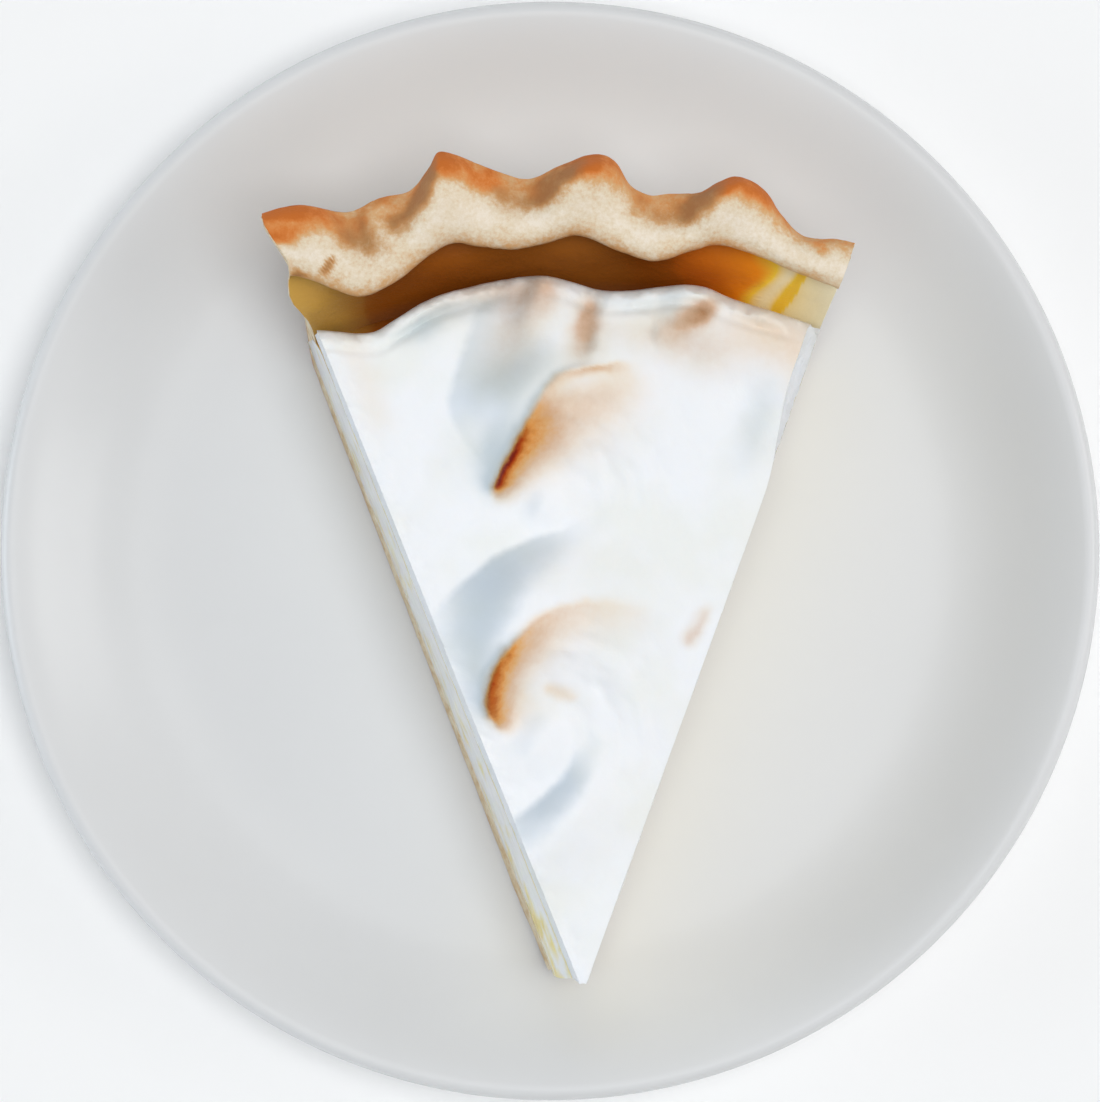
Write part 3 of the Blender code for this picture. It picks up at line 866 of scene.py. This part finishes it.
def grid_edge(rows):
    """The net's outline: up the right cut, round the back, down the left cut and across the tip."""
    edge = [row[0] for row in rows[:-1]] + rows[-1]
    edge += [row[-1] for row in reversed(rows[:-1])]
    return edge + rows[0][-2:0:-1]


def band(ring, next_ring):
    """Faces between two closed rings of vertex numbers."""
    return list(zip(ring, ring[1:] + ring[:1], next_ring[1:] + next_ring[:1], next_ring))


def make_piece(name, points, faces, node, crease=50, attributes=None, relief=None):
    """A mesh object in the part's frame, smooth but for its creases, that stands for a node.

    The relief, in millimetres, moves the points out along the surface's normal.
    """
    mesh = bpy.data.meshes.new(name)
    mesh.from_pydata(points.tolist(), [], [tuple(int(k) for k in face) for face in faces])
    values_by_name = dict(attributes or {})
    if relief is not None:
        values_by_name["relief"] = relief
    for key, values in values_by_name.items():
        layer = mesh.attributes.new(key, "FLOAT", "POINT")
        layer.data.foreach_set("value", np.asarray(values, np.float32))
    bm = bmesh.new()
    bm.from_mesh(mesh)
    bmesh.ops.remove_doubles(bm, verts=bm.verts, dist=1e-6)
    bmesh.ops.recalc_face_normals(bm, faces=bm.faces)
    if relief is not None:
        layer = bm.verts.layers.float["relief"]
        moved = [vert.co + vert.normal * vert[layer] * MM for vert in bm.verts]
        for vert, co in zip(bm.verts, moved):
            vert.co = co
        bm.verts.layers.float.remove(layer)
    bm.to_mesh(mesh)
    bm.free()
    mesh.shade_smooth()
    mesh.set_sharp_from_angle(angle=math.radians(crease))
    piece = bpy.data.objects.new(name, mesh)
    bpy.context.scene.collection.objects.link(piece)
    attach(piece, "root")
    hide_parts(node)
    return piece


def side_normal(across, at_back):
    """Outward direction of the layers' side at the edge points."""
    angle = angle_at(across)
    sideways = np.where(across > 0.5, -1.0, 1.0)
    cut = np.column_stack((sideways * np.cos(HALF_ANGLE), -np.sin(HALF_ANGLE) + 0 * angle, 0 * angle))
    back = np.column_stack((-np.sin(angle), np.cos(angle), 0 * angle))
    return np.where(at_back[:, None], back, cut)


def build_meringue():
    cell = 0.4
    levels = 26
    shares, across, rows = fan_grid(113.0, cell)
    back = meringue_back(across)
    radius = mix(TIP_RADIUS, back, shares)
    top = meringue_top(radius, across)
    points = [place(radius, across, top)]
    faces = []
    for near, far in zip(rows, rows[1:]):
        faces += bridge(near, far)
    edge = grid_edge(rows)
    edge_radius, edge_across, edge_top = radius[edge], across[edge], top[edge]
    at_back = edge_radius > 0.999 * meringue_back(edge_across)
    normal = side_normal(edge_across, at_back)
    ring = edge
    start = len(radius)
    bottom_line = FILLING_TOP + seam(place(edge_radius, edge_across, 0 * edge_radius))
    x, y = (points[0][:, k] + 0.35 * roughness(points[0], 2.4, 61 + k) for k in (0, 1))
    tints_and_painted_shade = {name: [stroke_sum(strokes, x, y)] for name, strokes in TINTS_AND_PAINTED_SHADE.items()}
    # Painted bluish shade on the steep left sides of the swirls
    tints_and_painted_shade["shade"][0] += shaded_side(x, y)
    for level in range(1, levels + 1):
        down = level / levels
        height = mix(edge_top, bottom_line, down)
        undercut = BACK_UNDERCUT * down * at_back
        side = place(edge_radius - undercut, edge_across, height)
        coarse = roughness(side * (1, 1, 0.6), 4.5, 7)
        fine = roughness(side, 1.1, 8, 2)
        fade = smoothstep(down * 4) * (1 - 0.8 * smoothstep((down - 0.85) / 0.15))
        side += normal * ((0.30 * coarse + 0.16 * fine) * fade)[:, None]
        points.append(side)
        for parts in tints_and_painted_shade.values():
            parts.append(parts[0][edge] * max(0, 1 - 5 * down))
        next_ring = list(range(start, start + len(edge)))
        faces += band(ring, next_ring)
        ring = next_ring
        start += len(edge)
    faces.append(ring)
    points = np.concatenate(points)
    cut = np.ones(len(points))
    cut[: len(radius)] = 0
    return make_piece(
        "meringue_piece",
        to_plate(points),
        faces,
        "meringue",
        attributes={name: np.concatenate(parts) for name, parts in tints_and_painted_shade.items()} | {"cut": cut},
    )


def syrup_and_shade_hue(x, y):
    """Share from olive and brown to yellow of the syrup that ran down behind the meringue, partly its own
    colour and partly painted shade of the gap.
    """
    wave = 1.3 * flat_roughness(x, 2.0 * y, 8.0, 51, 1)
    return table_lookup(SYRUP_AND_SHADE, np.degrees(np.arctan2(-x, y)) + wave)


def build_filling():
    cell = 1.0
    levels = 18
    shares, across, rows = fan_grid(113.0, cell)
    back = inner_wall(FILLING_TOP) - 0.1
    radius = mix(TIP_RADIUS, back, shares)
    top = FILLING_TOP + seam(place(radius, across, 0 * radius))
    top -= BACK_SINK * smoothstep((radius - BACK_SINK_START) / BACK_SINK_LENGTH)
    points = [place(radius, across, top)]
    # Syrup coat on the filling's back, which carries the gap's painted shade
    syrup_and_shade = [smoothstep((radius - 104) / 4)]
    smear = [0 * radius]
    faces = []
    for near, far in zip(rows, rows[1:]):
        faces += bridge(near, far)
    edge = grid_edge(rows)
    edge_radius, edge_across, edge_top = radius[edge], across[edge], top[edge]
    at_back = edge_radius > 0.999 * back
    at_left = (edge_across > 0.5) & ~at_back
    normal = side_normal(edge_across, at_back)
    ring = edge
    start = len(radius)
    for level in range(1, levels + 1):
        down = level / levels
        height = mix(edge_top, CRUST_FLOOR + 0.05, down)
        share = np.where(at_back, 1, edge_radius / back)
        limit = np.minimum(inner_wall(height) - 0.1, WALL_FOOT_INNER + 2 * (height - CRUST_FLOOR))
        side = place(mix(edge_radius, limit * share, at_back * 1.0), edge_across, height)
        sag = math.sin(math.pi * down)
        bulge = 0.3 + 0.9 * at_left * (1 - smoothstep((edge_radius - 4) / 22))
        rough = 0.20 * roughness(side * (1, 1, 0.4), 6.0, 11, 2)
        rough += 0.05 * roughness(side, 1.2, 12, 2)
        drags = roughness(side * (1, 1, 2.2), 5.0, 14)
        near_tip = 1 - smoothstep((edge_radius - 8) / 10)
        plain = np.where(at_left, 1.5 - 0.7 * down - 2.2 * near_tip * down, 0.9 - 3.0 * down)
        smear.append(smoothstep(plain + 1.4 * drags) * ~at_back)
        syrup_and_shade.append(0.8 * at_back)
        side += normal * (bulge * sag + rough * sag**0.5 * ~at_back)[:, None] * ~at_back[:, None]
        points.append(side)
        next_ring = list(range(start, start + len(edge)))
        faces += band(ring, next_ring)
        ring = next_ring
        start += len(edge)
    faces.append(ring)
    points = np.concatenate(points)
    return make_piece(
        "filling_piece",
        to_plate(swell_left_end(points)),
        faces,
        "lemon_filling",
        attributes={
            "syrup_and_shade": np.concatenate(syrup_and_shade),
            "smear": np.concatenate(smear),
            "hue": syrup_and_shade_hue(points[:, 0], points[:, 1]),
        },
    )


def crust_lines(angle):
    """The shell's inner and outer lines at this angle, matched point by point, from floor to the rim's nose.

    The columns are radius, height, share of gold in the crust's colour and share of syrup, which carries the
    gap's painted shade, on it.
    """
    degrees = math.degrees(angle)
    outer = float(table_lookup(RIM_OUTSIDE, degrees))
    inner = float(table_lookup(RIM_INSIDE, degrees))

    def rim(across_rim, below_crest, gold, syrup_and_shade=0.0):
        return mix(inner, outer, across_rim), RIM_TOP - below_crest, gold, syrup_and_shade

    inside = [
        (FLOOR_RADIUS, CRUST_FLOOR, 0.1, 0),
        (WALL_FOOT_INNER - 3, CRUST_FLOOR, 0.1, 0),
        (WALL_FOOT_INNER + 0.8, CRUST_FLOOR + 1.4, 0.1, 0.2),
        (inner_wall(18), 18, 0.1, 0.8),
        (inner_wall(26), 26, 0.1, 1),
        (inner_wall(32), 32, 0.1, 1),
        (max(inner + 1.2, WALL_TOP_INNER - 2), 36, 0.2, 1),
        rim(0, 2.6, 0.34, 0.3),
        rim(0.14, 0.7, 0.16),
        rim(0.36, 0, 0.03),
        rim(0.62, 0, 0.12),
        rim(0.86, 0.8, 0.30),
    ]
    outside = [
        (FLOOR_RADIUS, CRUST_BOTTOM, 0.36, 0),
        (WALL_FOOT_OUTER - 4, CRUST_BOTTOM, 0.46, 0),
        (WALL_FOOT_OUTER, CRUST_BOTTOM + 1.8, 0.44, 0),
        (outer_wall(16), 16, 0.34, 0),
        (outer_wall(23), 23, 0.30, 0),
        (outer_wall(29), 29, 0.28, 0),
        (outer_wall(33), 33, 0.24, 0),
        (WALL_TOP_OUTER - 0.4, WALL_TOP - 1.2, 0.18, 0),
        rim(0.78, 6.0, 0.22),
        rim(0.88, 5.4, 0.28),
        rim(0.95, 4.6, 0.34),
        rim(0.99, 3.6, 0.42),
    ]
    nose = rim(1, 2.4, 0.44)
    return through(inside + [nose], 5), through(outside + [nose], 5)


def crimp(points):
    """The points with the rim's crimps raised and its scoops lowered."""
    share = smoothstep((points[:, 2] - CRIMP_FOOT) / CRIMP_FADE)
    lift = share * stroke_sum(CRIMPS, points[:, 0], points[:, 1])
    return points + np.column_stack((0 * lift, 0 * lift, lift))


def crust_grid(lines, across):
    """Points, gold and syrup of lines of the shell at the given places across the slice; the syrup carries
    the gap's painted shade.
    """
    flat = lines.reshape(-1, lines.shape[-1])
    points = crimp(place_crust(flat[:, 0], np.repeat(across, lines.shape[-2]), flat[:, 1]))
    return points, flat[:, 2], flat[:, 3]


def build_crust():
    sections = 240
    thickness_steps = 10
    floor_steps = 90
    across = np.linspace(0, 1, sections + 1)
    lines = [crust_lines(float(angle_at(a))) for a in across]
    inner = np.array([pair[0] for pair in lines])
    outer = np.array([pair[1] for pair in lines])
    loop = np.concatenate((inner, outer[:, -2::-1]), axis=1)
    size = loop.shape[1]
    grids = [crust_grid(loop, across)]
    crumb = [np.zeros(len(grids[0][0]))]
    faces = []
    for i in range(sections):
        for j in range(size - 1):
            a, b = i * size + j, (i + 1) * size + j
            faces.append((a, a + 1, b + 1, b))
    start = len(grids[0][0])
    floor = np.linspace(TIP_RADIUS, FLOOR_RADIUS, floor_steps + 1)[:-1]
    rise = TIP_CHAMFER_RISE * np.clip((TIP_CHAMFER_LENGTH - floor) / TIP_CHAMFER_LENGTH, 0, 1)
    upper = np.column_stack((floor, 0 * floor + CRUST_FLOOR, 0 * floor, 0 * floor))
    lower = np.column_stack((floor, CRUST_BOTTOM + rise, 0 * floor + 0.3, 0 * floor))
    edges = []
    for end, side in ((0, 0.0), (-1, 1.0)):
        top_line = np.concatenate((upper, inner[end]))
        low_line = np.concatenate((lower, outer[end]))
        length = len(top_line)
        for k in range(thickness_steps + 1):
            line = mix(top_line, low_line, k / thickness_steps)
            grids.append(crust_grid(line[None], [side]))
            inside = 0 < k < thickness_steps
            crumb.append(np.full(length, 1.0 if inside else 0.0))
            crumb[-1][-1] = 0
        for k in range(thickness_steps):
            for j in range(length - 1):
                a = start + k * length + j
                faces.append((a, a + 1, a + length + 1, a + length))
        edges.append((start, start + thickness_steps * length, length))
        start += (thickness_steps + 1) * length
    (right_top, right_low, length), (left_top, left_low, _) = edges
    inner_floor = [i * size for i in range(sections + 1)]
    outer_floor = [i * size + size - 1 for i in range(sections + 1)]
    left_floor = range(left_top + floor_steps - 1, left_top - 1, -1)
    faces.append(inner_floor + list(left_floor) + list(range(right_top, right_top + floor_steps)))
    left_base = range(left_low + floor_steps - 1, left_low - 1, -1)
    faces.append(outer_floor + list(left_base) + list(range(right_low, right_low + floor_steps)))
    front = [right_top + k * length for k in range(thickness_steps + 1)]
    front += [left_top + k * length for k in range(thickness_steps, -1, -1)]
    faces.append(front)
    points, gold, syrup_and_shade = (np.concatenate(parts) for parts in zip(*grids))
    crumb = np.concatenate(crumb)
    x, y = points[:, 0], points[:, 1]
    mottle = 1 + 0.25 * roughness(points, 1.8, 31)
    on_rim = smoothstep((points[:, 2] - 38.2) / 2.4)
    warped = [v + 1.1 * roughness(points, 3.2, seed) for v, seed in ((x, 41), (y, 42))]
    # Browning of the pastry, which on the rim's flanks and scoops also carries painted shade
    bake_and_shade = gold + 0.10 * roughness(points, 5.0, 33) + 0.05 + on_rim * stroke_sum(BROWNED_AND_SHADED, *warped)
    shaded_browning, bright = (
        stroke_sum({name: BROWNED_AND_SHADED[name] for name in names}, *warped) for names in (DULL_AND_SHADED, BRIGHT)
    )
    dull_and_shaded = on_rim * np.clip(2.0 * shaded_browning - 2.4 * bright, 0, 1)
    relief = 0.09 * roughness(points, 2.8, 35) + 0.035 * roughness(points, 0.9, 36, 2)
    relief += crumb * 0.22 * roughness(points * (1, 1, 2.0), 1.5, 37)
    relief *= np.where((syrup_and_shade > 0.1) & (points[:, 2] < FILLING_TOP), 0, 1)
    return make_piece(
        "crust_piece",
        to_plate(swell_left_end(points)),
        faces,
        "crust",
        crease=60,
        attributes={
            "bake_and_shade": bake_and_shade * mottle,
            "dull_and_shaded": dull_and_shaded,
            "syrup_and_shade": syrup_and_shade,
            "hue": syrup_and_shade_hue(x, y),
            "crumb": crumb,
        },
        relief=relief,
    )


def plate_top(radius):
    t = max(radius - 60.0, 0) / 30.0
    return WELL_TOP + 11.0 * float(smoothstep(t**1.5))


def build_plate():
    segments = 256
    lip_radius = 88.0
    thickness = 4.0
    top = [(0.0, WELL_TOP), (30.0, WELL_TOP)]
    top += [(r, plate_top(r)) for r in np.linspace(56, lip_radius, 40)]
    middle = plate_top(lip_radius) - thickness / 2
    lip = [
        (lip_radius + 2.0 * math.cos(a), middle + thickness / 2 * math.sin(a))
        for a in np.radians(np.linspace(75, -75, 11))
    ]
    under = [(r, plate_top(r) - thickness) for r in np.linspace(lip_radius, 64, 20)]
    foot = [(53.6, 2.6), (53.0, 2.0), (52.2, 0.4), (51.6, 0.0)]
    foot += [(48.4, 0.0), (47.8, 0.4), (47.0, 2.2), (46.0, 2.3)]
    profile = np.array(top + lip + under + foot + [(0.0, 2.2)])
    turns = np.radians(np.arange(segments) * 360 / segments)
    points = [
        (r * math.cos(t) * MM, r * math.sin(t) * MM, z * MM) for t in turns for r, z in profile
    ]
    size = len(profile)
    faces = []
    for i in range(segments):
        k = (i + 1) % segments
        for j in range(size - 1):
            quad = (i * size + j, i * size + j + 1, k * size + j + 1, k * size + j)
            faces.append(quad)
    return make_piece("plate_piece", np.array(points), faces, "plate", crease=40)


def new_material(name, roughness_value):
    made = bpy.data.materials.new(name)
    made.use_nodes = True
    shader = made.node_tree.nodes["Principled BSDF"]
    shader.inputs["Roughness"].default_value = roughness_value
    return made, made.node_tree, shader


def add_noise(tree, scale, detail=4.0, rough=0.55):
    """Noise over the part's own frame, with the scale in features per metre."""
    coords = tree.nodes.new("ShaderNodeTexCoord")
    made = tree.nodes.new("ShaderNodeTexNoise")
    made.inputs["Scale"].default_value = scale
    made.inputs["Detail"].default_value = detail
    made.inputs["Roughness"].default_value = rough
    tree.links.new(coords.outputs["Object"], made.inputs["Vector"])
    return made.outputs["Fac"]


def add_pores(tree, scale):
    """Round pits: 1 on the surface and 0 at the middle of each, with the scale in pits per metre."""
    coords = tree.nodes.new("ShaderNodeTexCoord")
    made = tree.nodes.new("ShaderNodeTexVoronoi")
    made.inputs["Scale"].default_value = scale
    tree.links.new(coords.outputs["Object"], made.inputs["Vector"])
    return add_math(tree, "MULTIPLY", made.outputs["Distance"], 2.2, clamp=True)


def add_ramp(tree, source, stops):
    made = tree.nodes.new("ShaderNodeValToRGB")
    while len(made.color_ramp.elements) < len(stops):
        made.color_ramp.elements.new(0.5)
    for element, (position, colour) in zip(made.color_ramp.elements, stops):
        element.position = position
        element.color = (*colour, 1)
    tree.links.new(source, made.inputs["Fac"])
    return made.outputs["Color"]


def add_math(tree, operation, *values, clamp=False):
    made = tree.nodes.new("ShaderNodeMath")
    made.operation = operation
    made.use_clamp = clamp
    for socket, value in zip(made.inputs, values):
        if isinstance(value, (int, float)):
            socket.default_value = value
        else:
            tree.links.new(value, socket)
    return made.outputs["Value"]


def add_mix(tree, share, first, second):
    made = tree.nodes.new("ShaderNodeMix")
    made.data_type = "RGBA"
    for socket, value in zip((made.inputs[0], made.inputs[6], made.inputs[7]), (share, first, second)):
        if isinstance(value, tuple):
            socket.default_value = (*value, 1)
        elif isinstance(value, float):
            socket.default_value = value
        else:
            tree.links.new(value, socket)
    return made.outputs[2]


def multiply(tree, first, second):
    """One colour tinted by another."""
    mixed = add_mix(tree, 1.0, first, second)
    mixed.node.blend_type = "MULTIPLY"
    return mixed


def add_attribute(tree, name):
    made = tree.nodes.new("ShaderNodeAttribute")
    made.attribute_name = name
    return made.outputs["Fac"]


def add_bump(tree, shader, height, strength, distance):
    made = tree.nodes.new("ShaderNodeBump")
    made.inputs["Strength"].default_value = strength
    made.inputs["Distance"].default_value = distance
    tree.links.new(height, made.inputs["Height"])
    tree.links.new(made.outputs["Normal"], shader.inputs["Normal"])


def meringue_material():
    made, tree, shader = new_material("toasted_meringue", 0.55)
    mottle = add_math(tree, "MULTIPLY_ADD", add_noise(tree, 900), 0.4, 0.8)
    amount = add_math(tree, "MULTIPLY", add_attribute(tree, "toast"), mottle, clamp=True)
    toasted = add_ramp(
        tree,
        amount,
        (
            (0.0, (0.925, 0.945, 0.98)),
            (0.14, (0.90, 0.82, 0.74)),
            (0.32, (0.78, 0.57, 0.41)),
            (0.46, (0.77, 0.45, 0.20)),
            (0.56, (0.74, 0.33, 0.085)),
            (0.72, (0.52, 0.145, 0.02)),
            (0.86, (0.42, 0.05, 0.003)),
            (1.0, (0.26, 0.014, 0.001)),
        ),
    )
    tan = add_ramp(
        tree,
        add_math(tree, "MULTIPLY", add_attribute(tree, "tan"), mottle, clamp=True),
        (
            (0.0, (1.0, 1.0, 1.0)),
            (0.2, (0.94, 0.87, 0.80)),
            (0.5, (0.76, 0.53, 0.38)),
            (0.9, (0.52, 0.27, 0.13)),
        ),
    )
    toasted = multiply(tree, toasted, tan)
    cream = add_ramp(
        tree, add_noise(tree, 60, 2.0), ((0.42, (1.0, 1.0, 1.0)), (0.62, (0.965, 0.958, 0.905)))
    )
    tinted = multiply(tree, toasted, cream)
    # Bluish painted shade on the swirls' left sides and in the hollows, multiplied into the colour
    shade = add_ramp(
        tree, add_attribute(tree, "shade"), ((0.0, (1.0, 1.0, 1.0)), (1.0, (0.65, 0.705, 0.74)))
    )
    tree.links.new(multiply(tree, tinted, shade), shader.inputs["Base Color"])
    shader.inputs["Specular IOR Level"].default_value = 0.25
    shader.inputs["Subsurface Weight"].default_value = 0.25
    shader.inputs["Subsurface Radius"].default_value = (1.0, 0.9, 0.8)
    shader.inputs["Subsurface Scale"].default_value = 0.002
    pores = add_math(tree, "MULTIPLY", add_pores(tree, 650), add_attribute(tree, "cut"))
    height = add_math(tree, "MULTIPLY_ADD", add_noise(tree, 2600, 3.0), 0.25, pores)
    add_bump(tree, shader, height, 0.4, 0.0004)
    return made


def pastry_material():
    made, tree, shader = new_material("baked_pastry", 0.7)
    freckles = add_math(tree, "ADD", add_noise(tree, 1300, 5.0, 0.7), -0.5)
    amount = add_math(tree, "MULTIPLY_ADD", freckles, 0.62, add_attribute(tree, "bake_and_shade"), clamp=True)
    baked = add_ramp(
        tree,
        amount,
        (
            (0.0, (0.89, 0.79, 0.66)),
            (0.18, (0.80, 0.67, 0.49)),
            (0.38, (0.71, 0.43, 0.21)),
            (0.58, (0.72, 0.31, 0.10)),
            (0.80, (0.68, 0.21, 0.045)),
            (1.0, (0.60, 0.16, 0.026)),
        ),
    )
    # Greyer, darker browns for the scoops and flanks, partly the pastry's own browning and partly painted
    # shade
    dull_and_shaded = add_ramp(
        tree,
        amount,
        (
            (0.0, (0.89, 0.79, 0.66)),
            (0.18, (0.75, 0.61, 0.46)),
            (0.38, (0.56, 0.36, 0.20)),
            (0.58, (0.47, 0.25, 0.10)),
            (1.0, (0.41, 0.18, 0.065)),
        ),
    )
    baked = add_mix(tree, add_attribute(tree, "dull_and_shaded"), baked, dull_and_shaded)
    shader.inputs["Specular IOR Level"].default_value = 0.3
    syrup_and_shade = add_attribute(tree, "syrup_and_shade")
    # Syrup coat on the inner wall, with the gap's painted shade
    coated = add_mix(tree, syrup_and_shade, baked, add_syrup_and_shade_colour(tree))
    crumb = add_ramp(
        tree, add_noise(tree, 480, 5.0), ((0.35, (0.72, 0.52, 0.29)), (0.6, (0.88, 0.76, 0.56)))
    )
    tree.links.new(add_mix(tree, add_attribute(tree, "crumb"), coated, crumb), shader.inputs["Base Color"])
    tree.links.new(add_math(tree, "MULTIPLY_ADD", syrup_and_shade, -0.4, 0.72), shader.inputs["Roughness"])
    pores = add_math(tree, "MULTIPLY", add_pores(tree, 900), add_attribute(tree, "crumb"))
    height = add_math(tree, "ADD", add_noise(tree, 1500, 4.0), pores)
    add_bump(tree, shader, height, 0.35, 0.0004)
    return made


def filling_material():
    made, tree, shader = new_material("lemon_filling", 0.2)
    lemon = add_ramp(
        tree,
        add_noise(tree, 140, 3.0),
        ((0.35, (0.92, 0.73, 0.18)), (0.65, (0.94, 0.82, 0.40))),
    )
    smeared = add_mix(tree, add_attribute(tree, "smear"), lemon, (0.94, 0.94, 0.92))
    # Syrup coat at the back, with the gap's painted shade
    coated = add_mix(tree, add_attribute(tree, "syrup_and_shade"), smeared, add_syrup_and_shade_colour(tree))
    tree.links.new(coated, shader.inputs["Base Color"])
    shader.inputs["Subsurface Weight"].default_value = 0.3
    shader.inputs["Subsurface Radius"].default_value = (1.0, 0.8, 0.25)
    shader.inputs["Subsurface Scale"].default_value = 0.003
    add_bump(tree, shader, add_noise(tree, 420, 3.0), 0.15, 0.0004)
    return made


# Syrup colour by its hue share: partly the syrup's own colour, partly painted shade, dark in the gap's
# shaded middle and yellow at its lit right end
def add_syrup_and_shade_colour(tree):
    return add_ramp(
        tree,
        add_attribute(tree, "hue"),
        (
            (0.0, (0.62, 0.37, 0.08)),
            (0.15, (0.30, 0.082, 0.007)),
            (0.36, (0.50, 0.12, 0.008)),
            (0.60, (0.84, 0.26, 0.01)),
            (0.86, (0.98, 0.66, 0.06)),
            (1.0, (1.0, 0.90, 0.64)),
        ),
    )


def porcelain_material():
    made, tree, shader = new_material("porcelain", 0.24)
    colour = add_ramp(
        tree, add_noise(tree, 30, 2.0), ((0.3, (0.715, 0.72, 0.725)), (0.7, (0.73, 0.735, 0.74)))
    )
    tree.links.new(colour, shader.inputs["Base Color"])
    return made


def build_sky():
    """Soft light from all round, a little warm on the right, and bluish and bright low on the left."""
    sky = bpy.data.worlds.new("soft_sky")
    sky.use_nodes = True
    tree = sky.node_tree
    background = tree.nodes["Background"]
    coords = tree.nodes.new("ShaderNodeTexCoord").outputs["Generated"]
    direction = tree.nodes.new("ShaderNodeSeparateXYZ")
    tree.links.new(coords, direction.inputs["Vector"])
    rightward = add_math(tree, "MULTIPLY_ADD", direction.outputs["X"], 0.5, 0.5)
    tint = add_ramp(tree, rightward, ((0.0, (0.82, 0.92, 1.0)), (0.9, (1.0, 0.995, 0.985))))
    tree.links.new(tint, background.inputs["Color"])
    even = add_math(tree, "MULTIPLY_ADD", direction.outputs["X"], 0.03, 0.24)
    with_glow = add_math(tree, "MULTIPLY_ADD", add_glow(tree, coords, 60, 8), 0.25, even)
    strength = add_math(tree, "MULTIPLY_ADD", add_glow(tree, coords, 172, 24), 4.6, with_glow)
    tree.links.new(strength, background.inputs["Strength"])
    bpy.context.scene.world = sky


def add_glow(tree, coords, turn, sharpness):
    """Soft patch of the sky, centred the given degrees up from the right: 1 at its middle, 0 around it."""
    towards = tree.nodes.new("ShaderNodeVectorMath")
    towards.operation = "DOT_PRODUCT"
    towards.inputs[1].default_value = (math.cos(math.radians(turn)), 0, math.sin(math.radians(turn)))
    tree.links.new(coords, towards.inputs[0])
    return add_math(tree, "POWER", add_math(tree, "MAXIMUM", towards.outputs["Value"], 0.0), sharpness)


def build_ceiling():
    """Wide soft light from above, a little to the right, which leaves no mirrored patch in the glaze."""
    light = bpy.data.lights.new("ceiling", "SUN")
    light.energy = 1.89
    light.angle = math.radians(36)
    lamp = bpy.data.objects.new("ceiling", light)
    lamp.location = (0.3, 0, 1)
    lamp.rotation_euler = (0, math.radians(7.5), 0)
    lamp.visible_glossy = False
    bpy.context.scene.collection.objects.link(lamp)


def build_window():
    """A small soft light to the right, which the plate's left slope mirrors faintly."""
    elevation, distance = math.radians(33), 1.0
    light = bpy.data.lights.new("window", "AREA")
    light.shape = "RECTANGLE"
    light.size = 0.5
    light.size_y = 0.3
    light.energy = 1.0
    lamp = bpy.data.objects.new("window", light)
    lamp.location = (distance * math.cos(elevation), 0.02, distance * math.sin(elevation))
    lamp.rotation_euler = Vector(lamp.location).to_track_quat("Z", "Y").to_euler()
    bpy.context.scene.collection.objects.link(lamp)


def build_stage():
    """Pale floor, soft light and a camera straight above the plate."""
    bpy.ops.mesh.primitive_plane_add(size=4, location=(0, 0, 0))
    floor = bpy.context.object
    floor.name = "floor"
    surface, _, shader = new_material("floor", 0.9)
    shader.inputs["Base Color"].default_value = (0.95, 0.95, 0.95, 1)
    floor.data.materials.append(surface)
    build_sky()
    build_ceiling()
    build_window()

    lens = bpy.data.cameras.new("camera")
    lens.lens = LENS
    lens.sensor_width = SENSOR
    lens.clip_end = 10
    camera = bpy.data.objects.new("camera", lens)
    camera.location = (0, 0, CAMERA_HEIGHT)
    bpy.context.scene.collection.objects.link(camera)
    bpy.context.scene.camera = camera
    bpy.context.scene.view_settings.view_transform = "Standard"


def main():
    finishes = {
        build_plate(): porcelain_material(),
        build_crust(): pastry_material(),
        build_filling(): filling_material(),
        build_meringue(): meringue_material(),
    }
    for piece, finish in finishes.items():
        piece.data.materials.append(finish)
    build_stage()


main()
